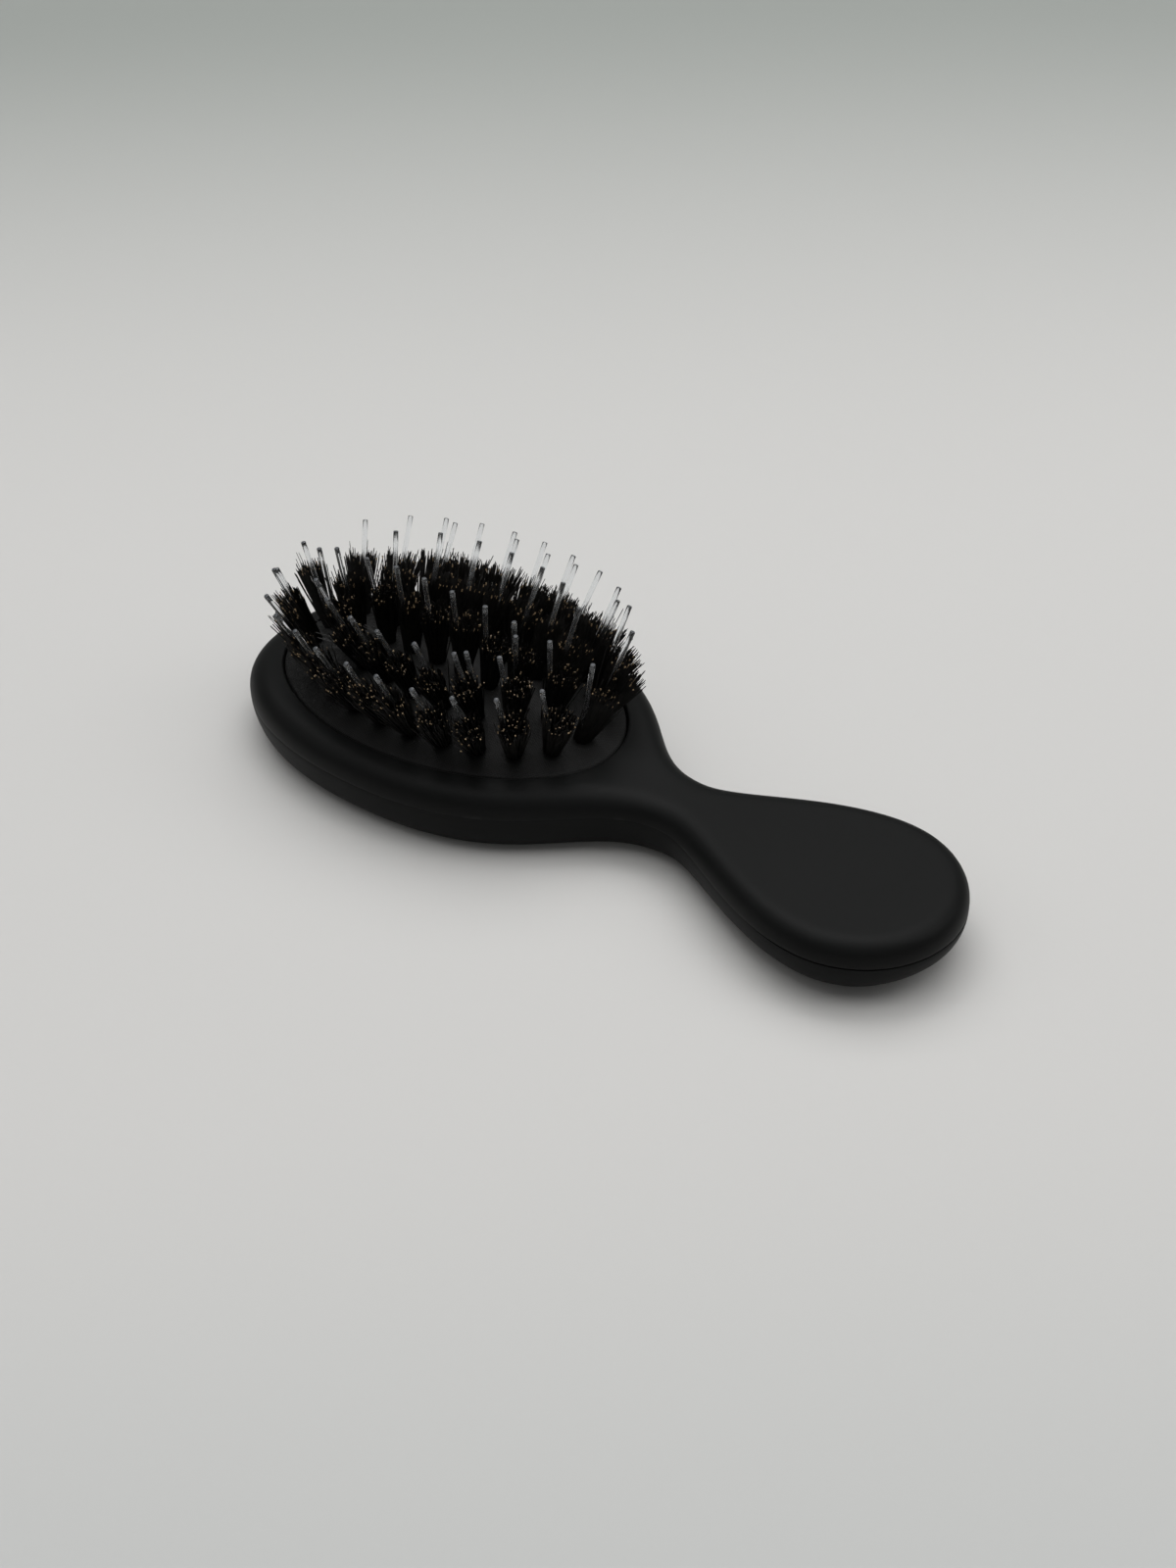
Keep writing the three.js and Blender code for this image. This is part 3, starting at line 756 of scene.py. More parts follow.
def make_back_shell(s):
    """Back half of the body: a tray with a rounded underside and a tongue at the seam."""
    body = BodySide(s)
    draft = MeshDraft()
    tongue_top = s.seam_height + TONGUE_HEIGHT
    under = lambda x: underside_at(s, x)
    floor = lambda x: underside_at(s, x) + s.wall
    top = lambda x: s.seam_height - gap_at(s, x) / 2
    lowered = lambda share_down: lambda x: top(x) - gap_at(s, x) * s.seam_round * share_down
    r = gap_at(s, body.points[:, 0]) * s.seam_round
    outer = body.rounding(0, body.under_reach, lowered(1), under, s.underside_squareness)[::-1]
    edge = [
        body.ring(r * SEAM_MIDDLE, lowered(SEAM_MIDDLE)),
        body.ring(r, top),
        body.ring(TONGUE_INSET, top),
        body.ring(TONGUE_INSET, tongue_top),
        body.ring(s.wall, tongue_top),
    ]
    inner = body.rounding(
        s.wall, body.under_reach - s.wall / 2, top, floor, s.underside_squareness
    )
    rows = draft.loft(outer + edge + inner)
    fill_across(draft, rows[0], under)
    fill_across(draft, rows[-1], floor)
    return draft.piece("back_shell_skin")


def pin_axis(node):
    """Root end and tip end of a pin's solid."""
    points = np.array([v.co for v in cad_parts[node].data.vertices], float)
    points = np.unique(np.round(points, 7), axis=0)
    centre = points.mean(0)
    spread = np.linalg.svd(points - centre)[2][0]
    if spread[2] < 0:
        spread = -spread
    run = (points - centre) @ spread
    return points[run < 0].mean(0), points[run > 0].mean(0)


PIN_AXES = {node: pin_axis(node) for node in PIN_NODES}


def tuft_roots():
    """Root on the cushion and direction of its pin, for each tuft."""
    roots = []
    for low, high in PIN_AXES.values():
        axis = (high - low) / np.linalg.norm(high - low)
        roots.append((low + axis * PIN_ROOT_DEPTH, axis))
    return roots


def square_to(line):
    """Two directions square to a line and to each other: one of length 1, one as long as the line."""
    across = np.cross((0, 1, 0), line)
    across /= np.linalg.norm(across)
    return across, np.cross(line, across)


def cushion_relief(s, c, x, y, reach):
    """Dimples at the tufts, slow waves, and wrinkles at the head's end."""
    lift = np.zeros_like(x)
    for root, _ in tuft_roots():
        near = ((x - root[0]) ** 2 + (y - root[1]) ** 2) / c.dimple_radius**2
        ridge = np.exp(-((np.sqrt(near) - RIDGE_PLACE) ** 2) * RIDGE_FALL)
        lift -= c.dimple_depth * np.exp(-near * DIMPLE_FALL)
        lift += RIDGE_HEIGHT * c.dimple_depth * ridge
    inside = np.clip((1 - reach) * RIM_CALM, 0, 1)
    bent = np.sin(x * WAVE_ALONG + np.sin(y * BEND_RATE) * WAVE_BEND)
    wave = bent * np.cos(y * WAVE_ACROSS + x * WAVE_SKEW)
    lift += c.unevenness * wave * inside
    angle = np.arctan2(y, -(x - body_places(s).opening))
    rng = np.random.default_rng(WRINKLE_SEED)
    for _ in range(c.wrinkle_count):
        middle = rng.uniform(*WRINKLE_ANGLES)
        width = rng.uniform(*WRINKLE_WIDTHS)
        start = rng.uniform(*WRINKLE_STARTS)
        end = rng.uniform(*WRINKLE_ENDS)
        slant = rng.uniform(*WRINKLE_SLANTS)
        off = (angle - middle - slant * (reach - start)) / width
        along = np.clip((reach - start) / WRINKLE_FADE, 0, 1) * np.clip((end - reach) / WRINKLE_FADE, 0, 1)
        lift -= c.wrinkle_depth * rng.uniform(*WRINKLE_DEPTHS) * np.exp(-(off**2)) * along
    return lift


def make_cushion(s, c):
    """The rubber cushion: a crowned skin, rolled edge, wall and clamped flange, as one closed body."""
    draft = MeshDraft()
    at = body_places(s)
    angle = -np.arange(OVAL_STEPS) / OVAL_STEPS * 2 * math.pi
    unit = oval(s, -c.clearance, angle) - (at.opening, 0)
    rim = lambda x: top_at(s, x) - c.rim_below_top

    def crown(reach, x):
        lift = c.crown * np.maximum(1 - reach**2, 0) ** c.crown_roundness
        return rim(x) + lift

    def surface(reach, drop=0.0, relief=True):
        x, y = (unit * reach + (at.opening, 0)).T
        r = np.full(len(x), reach)
        z = crown(r, x) - drop
        if relief:
            z = z + cushion_relief(s, c, x, y, r)
        return np.column_stack([x, y, z])

    def wall_ring(offset, height):
        return raised(oval(s, offset, angle), height)

    flange_top = s.seam_height + s.head_top - s.collar_depth - FLANGE_ROOM
    flange_bottom = flange_top - c.flange_thickness
    reaches = 1 - (np.linspace(1, 0, CROWN_STEPS + 1)[1:-1]) ** RING_SPACING
    rings = [surface(r) for r in (*reaches, LAST_REACH)]
    for k in range(1, ROLL_STEPS + 1):
        turn = k / ROLL_STEPS * math.pi / 2
        inward = ROLL_RADIUS * (1 - math.sin(turn))
        drop = ROLL_RADIUS * (1 - math.cos(turn))
        rings.append(wall_ring(-c.clearance - inward, lambda x, drop=drop: rim(x) - drop + ROLL_LIFT))
    inner_offset = -c.clearance - RUBBER_WALL
    rings += [
        wall_ring(-c.clearance, flange_top),
        wall_ring(c.flange_reach, flange_top),
        wall_ring(c.flange_reach, flange_bottom),
        wall_ring(inner_offset, flange_bottom),
        wall_ring(inner_offset, lambda x: rim(x) - c.thickness),
    ]
    rings += [surface(r, c.thickness, False) for r in UNDER_REACHES]
    rows = draft.loft(rings)
    middle = np.array([at.opening, 0, crown(np.zeros(1), np.array([at.opening]))[0]])
    draft.fan(rows[0], middle)
    draft.fan(rows[-1], middle - (0, 0, c.thickness))
    return draft.piece("rubber_cushion", sharp_angle=60)


def strand_rings(points, radii, across, along):
    """Triangle rings along many strands at once: points (strands, stations, 3)."""
    angle = np.arange(STRAND_SIDES) / STRAND_SIDES * 2 * math.pi
    ring = across * np.cos(angle)[:, None] + along * np.sin(angle)[:, None]
    return points[:, :, None, :] + ring * radii[:, :, None, None]


def share_of_opening(s, points):
    """How far out points lie in the opening: 0 in its middle, 1 at its edge."""
    at = body_places(s)
    return np.hypot((points[:, 0] - at.opening) / s.opening_half_length, points[:, 1] / s.opening_half_width)


def tuft_axis(t, pin_line, rear, endwards, at_end, rng):
    """Direction of a tuft, which leans more than its pin."""
    lean = pin_line / pin_line[2]
    lean[0] += t.lean_along * (1 - at_end) + t.lean_ends * at_end * np.sign(endwards)
    lean[1] += t.lean_back * at_end - t.lean_across * (1 - at_end) * (1 - rear)
    lean[:2] += rng.normal(0, t.uneven_lean, 2)
    return lean / np.linalg.norm(lean)


def low_fall(body, t, foot, outwards, rng):
    """Run of each low stray from its foot, cut short where it would leave the opening."""
    fall = (outwards + rng.normal(0, LOW_SPREAD, foot.shape) * LOW_FLATNESS) * t.low_length
    foot_share = share_of_opening(body, foot)
    end_share = share_of_opening(body, foot + fall)
    room = (LOW_REACH - foot_share) / (end_share - foot_share)
    return fall * np.where(end_share > LOW_REACH, room, 1)[:, None]


def tuft_strands(body, t, root, pin_line, rng):
    """Rings of a tuft's strands, and which of them have a light tip."""
    count = t.strands
    rear = np.clip(root[1] / FAR_ROW, 0, 1)
    endwards = (root[0] - body_places(body).opening) / body.opening_half_length
    at_end = min((endwards / OUTER_RING) ** 4, 1)
    axis = tuft_axis(t, pin_line, rear, endwards, at_end, rng)
    across, along = square_to(axis)
    place = np.sqrt(rng.uniform(0, 1, count))
    turn = rng.uniform(0, 2 * math.pi, count)
    out = across * np.cos(turn)[:, None] + along * np.sin(turn)[:, None]
    side = np.cross(axis, out)
    height = t.length * rng.uniform(*TUFT_LENGTHS) - t.rear_shorter * rear
    drop = place**2 * EDGE_DROP + np.clip(1 - place / MIDDLE_REACH, 0, 1) * MIDDLE_DROP
    run = height + rng.normal(0, LENGTH_SPREAD, count) * t.ragged - drop
    stray = rng.uniform(0, 1, count) < t.stray_share
    run = np.where(stray, run + rng.uniform(*STRAY_LENGTHS, count) * t.stray_extra, run)
    spread = (t.tip_radius + (t.rear_tip_radius - t.tip_radius) * rear) * rng.uniform(*TUFT_SPREADS)
    splay = place * spread * rng.uniform(*STRAND_SPREADS, count)
    loose = rng.uniform(0, 1, count) < LOOSE_SHARE
    splay = np.where(loose, splay * rng.uniform(*LOOSE_SPREADS, count), splay)
    bend = rng.normal(0, BEND_SPREAD, count)
    light = rng.uniform(0, 1, count) < t.tip_share * (1 - REAR_FEWER * rear)
    light &= ~stray & (np.arange(count) >= t.low_strays)
    even = height - t.light_below + rng.normal(0, LIGHT_SPREAD, count) * t.ragged - drop
    run = np.where(light, even, run)
    tip = t.tip_length * rng.uniform(*TIP_LENGTHS, count)
    steps = [np.full(count, -t.root_depth), *(run * part for part in MIDDLE_STATIONS), run - tip, run]
    low = (np.arange(count) < t.low_strays) & (endwards < LOW_SIDE) & (at_end > LOW_AT_END)
    outwards = np.array([endwards, root[1] / body.opening_half_width, LOW_RISE])
    foot = root + out * (place * t.root_radius)[:, None] + (0, 0, LOW_FOOT)
    fall = low_fall(body, t, foot, outwards / np.linalg.norm(outwards), rng)
    points = []
    for up in steps:
        part = np.clip(up / height, 0, LONGEST)
        reach = place * t.root_radius + (splay - place * t.root_radius) * part**TUFT_FLARE
        upright = root + axis * up[:, None] + out * reach[:, None] + side * (bend * part**2)[:, None]
        fallen = foot + fall * part[:, None]
        fallen[:, 2] += np.minimum(up, 0)
        points.append(np.where(low[:, None], fallen, upright))
    thick = t.strand_radius * rng.uniform(*THICKNESSES, count) * np.where(stray, STRAY_THICKNESS, 1)
    radii = thick[:, None] * np.array(TAPER)
    tip_radius = t.bead_radius * rng.uniform(*TIP_SIZES, count)
    radii[:, 3] = np.where(light, tip_radius * TIP_NECK, radii[:, 3])
    radii[:, 4] = np.where(light, tip_radius, radii[:, 4])
    return strand_rings(np.stack(points, 1), radii, across, along), light


def strand_faces(start, light, stations):
    """Faces of a tuft's strands, and 1 for each that belongs to a light tip."""
    faces, marks = [], []
    for k, tipped in enumerate(light):
        base = start + k * stations * STRAND_SIDES
        head = base + (stations - 1) * STRAND_SIDES
        for a in range(base, head, STRAND_SIDES):
            b = a + STRAND_SIDES
            for i in range(STRAND_SIDES):
                n = (i + 1) % STRAND_SIDES
                faces.append((a + i, a + n, b + n, b + i))
                marks.append(int(tipped and b == head))
        faces.append(tuple(range(base + STRAND_SIDES - 1, base - 1, -1)))
        faces.append(tuple(range(head, head + STRAND_SIDES)))
        marks += [0, int(tipped)]
    return faces, marks


def make_boar_tufts(body, t):
    """All boar tufts as one mesh of tapered strands. Light tips have a material of their own."""
    rng = np.random.default_rng(t.seed)
    vertices, faces, marks = [], [], []
    for root, pin_line in tuft_roots():
        rings, light = tuft_strands(body, t, root, pin_line, rng)
        tuft_faces, tuft_marks = strand_faces(len(vertices), light, rings.shape[1])
        vertices.extend(rings.reshape(-1, 3).tolist())
        faces += tuft_faces
        marks += tuft_marks
    mesh = bpy.data.meshes.new("boar_tufts")
    mesh.from_pydata(vertices, [], faces)
    mesh.polygons.foreach_set("material_index", marks)
    return smooth_piece("boar_tufts", mesh, sharp_angle=70)


def rod(draft, path, radius, bevel, sides):
    """A round rod along a path, cut flat at its end. Returns the numbers of the cut's faces."""
    tangent = np.gradient(path, axis=0)
    tangent /= np.linalg.norm(tangent, axis=1)[:, None]
    across = np.cross((0, 1, 0), tangent)
    across /= np.linalg.norm(across, axis=1)[:, None]
    along = np.cross(tangent, across)
    turn = np.arange(sides) / sides * 2 * math.pi

    def ring(point, k, r):
        return point + (across[k] * np.cos(turn)[:, None] + along[k] * np.sin(turn)[:, None]) * r

    rings = [ring(point, k, radius) for k, point in enumerate(path[:-1])]
    rings.append(ring(path[-1] - tangent[-1] * bevel, -1, radius))
    rings.append(ring(path[-1], -1, radius - bevel))
    rows = draft.loft(rings)
    draft.fan(rows[0], path[0])
    first = len(draft.faces)
    draft.fan(rows[-1], path[-1])
    return range(first, len(draft.faces))


def middle_row(root):
    """1 on the cushion's middle line, falling to nothing beside it."""
    return math.exp(-((root[1] / MIDDLE_ROW) ** 2))


def make_clear_pins(p):
    """One piece for each clear pin. Some show the second leg of their folded filament."""
    rng = np.random.default_rng(p.seed)
    pieces = []
    t = np.linspace(0, 1, PIN_POINTS)[:, None]
    for node, (low, high) in PIN_AXES.items():
        axis = high - low
        across, along = square_to(axis)
        along /= np.linalg.norm(along)
        draft = MeshDraft()
        stray = (across * rng.normal(0, PIN_STRAY) + along * rng.normal(0, PIN_STRAY)) * p.bend
        high = high + np.array([0, -p.row_lean, 0]) * np.linalg.norm(axis) * middle_row(low)
        axis = high - low
        cut = list(rod(draft, low + axis * t + stray * t**2, p.radius, p.cut_bevel, p.sides))
        far = np.clip((low[1] - FAR_ROW) / PIN_FAR, 0, 1)
        if rng.uniform() < p.second_share + (p.far_second_share - p.second_share) * far:
            turn = rng.uniform(0, 2 * math.pi) * (1 - far) + rng.normal(0, SECOND_TURN) * far
            off = across * math.cos(turn) + along * math.sin(turn)
            start = low + off * SECOND_FOOT * p.radius
            end = high + off * p.second_spread * rng.uniform(*SECOND_SPREADS)
            end -= axis * rng.uniform(*SECOND_SHORTER)
            cut += rod(draft, start + (end - start) * t, p.radius, p.cut_bevel, p.sides)
        thing = draft.piece(node.replace("nylon", "clear"), sharp_angle=50)
        for face in cut:
            thing.data.polygons[face].material_index = 1
        pieces.append((thing, node))
    return pieces


# Materials

# Pointiness over which an edge wears and takes a painted sheen, noise over which a strand's tone changes,
# and how its gloss does
EDGE_SHARPNESS = (0.515, 0.6)
TONE_CHANGE = (0.35, 0.65)
TONE_GLOSS = 0.3

# Shares of the smudges and of the grain in a moulded surface's tone
SMUDGE_SHARE = 0.6
GRAIN_SHARE = 0.4

# The rubber's crossed ribs, the painted shade in their grooves and painted highlight on their crests, and
# the grain on them
RIB_TURNS = (0.5, 2.05)
RIB_SHARES = (0.6, 0.4)
RIB_SCALE = 900
RIB_SHADE_AND_HIGHLIGHT = (0.45, 1.45)
RUBBER_GRAIN = 0.5

# Creases of the rubber at the head's end, cut into its relief and painted darker as shade
CREASE_SCALE = 780  # cells a metre
CREASE_WIDTH = (0.0, 0.16)  # in cells
CREASE_PLACE = (-52 * MM, -30 * MM)  # where they start to fade out along X, and where they end
CREASE_DEPTH = 1.6  # in heights of a rib
CREASE_WANDER = 1.4 * MM
WANDER_SCALE = 320

# Streaks of the clear nylon, and its roughness in them and between them
STREAK_SCALE = 700
STREAK_ROUGHNESS = 0.03
LEAST_ROUGHNESS = 0.005


def new_group(name, inputs, outputs):
    """An empty shader node group with named inputs and outputs."""
    group = bpy.data.node_groups.new(name, "ShaderNodeTree")
    for label, kind, value in inputs:
        socket = group.interface.new_socket(name=label, in_out="INPUT", socket_type=kind)
        socket.default_value = value
    for label, kind in outputs:
        group.interface.new_socket(name=label, in_out="OUTPUT", socket_type=kind)
    enter = group.nodes.new("NodeGroupInput")
    leave = group.nodes.new("NodeGroupOutput")
    return group, enter.outputs, leave.inputs


def add_node(tree, kind, **values):
    """A node with its inputs and settings set by name."""
    node = tree.nodes.new(kind)
    for key, value in values.items():
        if key in node.inputs:
            node.inputs[key].default_value = value
        else:
            setattr(node, key, value)
    return node


def ramp(tree, value, low, high, curve="LINEAR", top=1.0):
    """0 below a low value, rising along a curve to the top at a high one."""
    node = add_node(tree, "ShaderNodeMapRange", interpolation_type=curve)
    for name, limit in (("From Min", low), ("From Max", high), ("To Max", top)):
        node.inputs[name].default_value = limit
    tree.links.new(value, node.inputs["Value"])
    return node.outputs[0]


def vector_maths(tree, operation, a, b):
    """Outputs of a Vector Math node on a socket and a second socket or value."""
    node = add_node(tree, "ShaderNodeVectorMath", operation=operation)
    second = node.inputs["Scale" if operation == "SCALE" else 1]
    tree.links.new(a, node.inputs[0])
    if isinstance(b, bpy.types.NodeSocket):
        tree.links.new(b, second)
    else:
        second.default_value = b
    return node.outputs


def noise(tree, place, scale, detail=2.0):
    """Noise over the piece's own coordinates."""
    node = add_node(tree, "ShaderNodeTexNoise", Scale=1, Detail=detail)
    tree.links.new(vector_maths(tree, "SCALE", place, scale)[0], node.inputs["Vector"])
    return node.outputs["Fac"]


def maths(tree, operation, a, b):
    """A Math node on two values or sockets."""
    node = add_node(tree, "ShaderNodeMath", operation=operation)
    for socket, value in zip(node.inputs, (a, b)):
        if isinstance(value, bpy.types.NodeSocket):
            tree.links.new(value, socket)
        else:
            socket.default_value = value
    return node.outputs[0]


def mix_colour(tree, factor, a, b):
    """A colour mix of two sockets or colours, which the node has as its inputs 6 and 7."""
    node = add_node(tree, "ShaderNodeMix", data_type="RGBA")
    tree.links.new(factor, node.inputs["Factor"])
    for socket, value in ((node.inputs[6], a), (node.inputs[7], b)):
        if isinstance(value, bpy.types.NodeSocket):
            tree.links.new(value, socket)
        else:
            socket.default_value = (*value, 1)
    return node.outputs[2]


def moulded_grain_group():
    """Fine grain of a moulded or coated surface, with slow smudges in its roughness."""
    group, given, wanted = new_group(
        "Moulded grain",
        [
            ("Colour", "NodeSocketColor", (0.5, 0.5, 0.5, 1)),
            ("Variation", "NodeSocketFloat", 0.1),
            ("Roughness", "NodeSocketFloat", 0.5),
            ("Smudge", "NodeSocketFloat", 0.05),
            ("Grain Scale", "NodeSocketFloat", 4000.0),
            ("Smudge Scale", "NodeSocketFloat", 60.0),
        ],
        [("Colour", "NodeSocketColor"), ("Roughness", "NodeSocketFloat"), ("Height", "NodeSocketFloat")],
    )
    link = group.links.new
    place = add_node(group, "ShaderNodeTexCoord").outputs["Object"]
    grain = noise(group, place, given["Grain Scale"])
    smudge = noise(group, place, given["Smudge Scale"], 4)
    swing = maths(group, "MULTIPLY", maths(group, "SUBTRACT", smudge, 0.5), given["Smudge"])
    smudge_part = maths(group, "MULTIPLY", smudge, SMUDGE_SHARE)
    tone = maths(group, "ADD", smudge_part, maths(group, "MULTIPLY", grain, GRAIN_SHARE))
    gain = maths(group, "MULTIPLY", maths(group, "SUBTRACT", tone, 0.5), given["Variation"])
    scaled = vector_maths(group, "SCALE", given["Colour"], maths(group, "ADD", gain, 1.0))
    link(maths(group, "ADD", given["Roughness"], swing), wanted["Roughness"])
    link(scaled[0], wanted["Colour"])
    link(grain, wanted["Height"])
    return group


def edge_wear_and_sheen_group():
    """Lightens a surface along its outward edges: wear, and a painted sheen where they catch the light."""
    group, given, wanted = new_group(
        "Edge wear and sheen",
        [
            ("Colour", "NodeSocketColor", (0.5, 0.5, 0.5, 1)),
            ("Worn Colour", "NodeSocketColor", (0.6, 0.6, 0.6, 1)),
            ("Amount", "NodeSocketFloat", 0.3),
            ("Patch Scale", "NodeSocketFloat", 300.0),
        ],
        [("Colour", "NodeSocketColor"), ("Mask", "NodeSocketFloat")],
    )
    edge = ramp(group, add_node(group, "ShaderNodeNewGeometry").outputs["Pointiness"], *EDGE_SHARPNESS)
    place = add_node(group, "ShaderNodeTexCoord").outputs["Object"]
    patch = noise(group, place, given["Patch Scale"], 3)
    mask = maths(group, "MULTIPLY", maths(group, "MULTIPLY", edge, patch), given["Amount"])
    group.links.new(mask, wanted["Mask"])
    group.links.new(mix_colour(group, mask, given["Colour"], given["Worn Colour"]), wanted["Colour"])
    return group


def strand_tone_group():
    """Uneven colour and gloss of natural strands."""
    group, given, wanted = new_group(
        "Strand tone",
        [
            ("Colour", "NodeSocketColor", (0.5, 0.5, 0.5, 1)),
            ("Second Colour", "NodeSocketColor", (0.5, 0.5, 0.5, 1)),
            ("Patch Scale", "NodeSocketFloat", 900.0),
            ("Roughness", "NodeSocketFloat", 0.5),
        ],
        [("Colour", "NodeSocketColor"), ("Roughness", "NodeSocketFloat")],
    )
    place = add_node(group, "ShaderNodeTexCoord").outputs["Object"]
    patch = noise(group, place, given["Patch Scale"], 1)
    tone = mix_colour(group, ramp(group, patch, *TONE_CHANGE), given["Colour"], given["Second Colour"])
    swing = maths(group, "MULTIPLY", maths(group, "SUBTRACT", patch, 0.5), TONE_GLOSS)
    group.links.new(tone, wanted["Colour"])
    group.links.new(maths(group, "ADD", given["Roughness"], swing), wanted["Roughness"])
    return group


GROUP_MAKERS = {
    "Moulded grain": moulded_grain_group,
    "Edge wear and sheen": edge_wear_and_sheen_group,
    "Strand tone": strand_tone_group,
}


def place_group(tree, name, **values):
    """A shared effect in a material, with this material's own values."""
    node = tree.nodes.new("ShaderNodeGroup")
    node.node_tree = bpy.data.node_groups.get(name) or GROUP_MAKERS[name]()
    for key, value in values.items():
        node.inputs[key.replace("_", " ")].default_value = value
    return node


def new_material(name):
    """A material with its Principled shader, and the tree to add to."""
    material = bpy.data.materials.new(name)
    material.use_nodes = True
    shader = material.node_tree.nodes["Principled BSDF"]
    return material, material.node_tree, shader


def add_bump(tree, shader, height, strength, distance):
    """Feeds a height to the shader's normal."""
    bump = add_node(tree, "ShaderNodeBump", Strength=strength, Distance=distance)
    tree.links.new(height, bump.inputs["Height"])
    tree.links.new(bump.outputs["Normal"], shader.inputs["Normal"])


def plastic_material(name, grain_values, wear_and_sheen_values, bump_distance, specular=0.5):
    """Moulded or coated plastic: grain, and edges lighter from wear and a painted sheen."""
    material, tree, shader = new_material(name)
    grain = place_group(tree, "Moulded grain", **grain_values)
    wear = place_group(tree, "Edge wear and sheen", **wear_and_sheen_values)
    tree.links.new(grain.outputs["Colour"], wear.inputs["Colour"])
    tree.links.new(wear.outputs["Colour"], shader.inputs["Base Color"])
    tree.links.new(grain.outputs["Roughness"], shader.inputs["Roughness"])
    shader.inputs["Specular IOR Level"].default_value = specular
    add_bump(tree, shader, grain.outputs["Height"], strength=0.2, distance=bump_distance)
    return material


def soft_touch_material(f):
    """Matt soft-touch black of the body."""
    grain = dict(Variation=0.22, Roughness=0.5, Smudge=0.1, Grain_Scale=5200, Smudge_Scale=55)
    return plastic_material(
        "soft_touch_black",
        dict(grain, Colour=(*f.body, 1)),
        # Lighter edges: wear and a painted sheen
        dict(Worn_Colour=(0.03, 0.03, 0.03, 1), Amount=0.5, Patch_Scale=400),
        bump_distance=0.03 * MM,
        specular=0.1,
    )


def inner_material(f):
    """Plain moulded black of the tray inside."""
    grain = dict(Variation=0.3, Roughness=0.45, Smudge=0.1, Grain_Scale=2500, Smudge_Scale=80)
    return plastic_material(
        "inner_plastic_black",
        dict(grain, Colour=(*f.inner, 1)),
        # Lighter edges: wear and a painted sheen
        dict(Worn_Colour=(0.04, 0.04, 0.04, 1), Amount=0.4, Patch_Scale=250),
        bump_distance=0.05 * MM,
    )


def creases(tree, place):
    """1 on smooth rubber, less in the fine creases at the head's end."""
    wander = vector_maths(tree, "SCALE", noise(tree, place, WANDER_SCALE), CREASE_WANDER)[0]
    bent = vector_maths(tree, "ADD", place, wander)[0]
    cells = add_node(tree, "ShaderNodeTexVoronoi", feature="DISTANCE_TO_EDGE", Scale=CREASE_SCALE)
    tree.links.new(bent, cells.inputs["Vector"])
    along = add_node(tree, "ShaderNodeSeparateXYZ")
    tree.links.new(place, along.inputs[0])
    beside = ramp(tree, cells.outputs["Distance"], *CREASE_WIDTH, "SMOOTHSTEP")
    past = ramp(tree, along.outputs["X"], *CREASE_PLACE, "SMOOTHSTEP")
    return maths(tree, "MAXIMUM", beside, past)


def rubber_material(f):
    """Dark grey rubber with a fine crossed rib, with painted shade in its grooves and creases and a painted
    highlight on its crests.
    """
    material, tree, shader = new_material("ribbed_rubber")
    grain = place_group(
        tree, "Moulded grain", Colour=(*f.rubber, 1), Variation=0.35, Roughness=0.62, Smudge=0.12,
        Grain_Scale=3000, Smudge_Scale=140,
    )
    place = add_node(tree, "ShaderNodeTexCoord").outputs["Object"]
    ribs = []
    for turn, part in zip(RIB_TURNS, RIB_SHARES):
        turned = add_node(tree, "ShaderNodeMapping", Rotation=(0, 0, turn))
        tree.links.new(place, turned.inputs["Vector"])
        wave = add_node(
            tree, "ShaderNodeTexWave", wave_type="BANDS", bands_direction="X",
            **{"Scale": RIB_SCALE, "Distortion": 0.6, "Detail Scale": 2.0},
        )
        tree.links.new(turned.outputs[0], wave.inputs["Vector"])
        ribs.append(maths(tree, "MULTIPLY", wave.outputs["Fac"], part))
    weave = maths(tree, "ADD", *ribs)
    # The creases deepen the relief and, through the tone below, darken it as painted shade
    smooth = creases(tree, place)
    height = maths(tree, "ADD", weave, maths(tree, "MULTIPLY", grain.outputs["Height"], RUBBER_GRAIN))
    height = maths(tree, "ADD", height, maths(tree, "MULTIPLY", smooth, CREASE_DEPTH))
    # Painted shade in the rib grooves and painted highlight on the crests, following the same weave as the
    # bump
    dark, light = ((tone, tone, tone) for tone in RIB_SHADE_AND_HIGHLIGHT)
    tone = mix_colour(tree, maths(tree, "MULTIPLY", weave, smooth), dark, light)
    product = vector_maths(tree, "MULTIPLY", grain.outputs["Colour"], tone)[0]
    tree.links.new(product, shader.inputs["Base Color"])
    tree.links.new(grain.outputs["Roughness"], shader.inputs["Roughness"])
    shader.inputs["Specular IOR Level"].default_value = 0.2
    add_bump(tree, shader, height, strength=0.6, distance=0.08 * MM)
    return material


def strand_material(name, colour, second, patch_scale, roughness, **shine):
    """A strand with uneven colour and gloss, and the values of the shader's other sockets."""
    material, tree, shader = new_material(name)
    tone = place_group(
        tree, "Strand tone", Colour=(*colour, 1), Second_Colour=(*second, 1),
        Patch_Scale=patch_scale, Roughness=roughness,
    )
    tree.links.new(tone.outputs["Colour"], shader.inputs["Base Color"])
    tree.links.new(tone.outputs["Roughness"], shader.inputs["Roughness"])
    for key, value in shine.items():
        shader.inputs[key.replace("_", " ")].default_value = value
    return material


def bristle_material(f):
    """Black boar bristle."""
    second = (0.009, 0.0078, 0.0064)
    return strand_material("boar_black", f.bristle, second, 1400, 0.5, Specular_IOR_Level=0.3)


def bristle_tip_material(f):
    """Golden brown ends of the bristles."""
    return strand_material("boar_golden_tip", f.tip, (0.06, 0.04, 0.022), 2600, 0.45)


def cut_nylon_material(f):
    """Pale sawn end of a clear pin."""
    second = (0.07, 0.078, 0.09)
    return strand_material("cut_filament", f.cut_nylon, second, 3000, 0.4, Transmission_Weight=0.5)


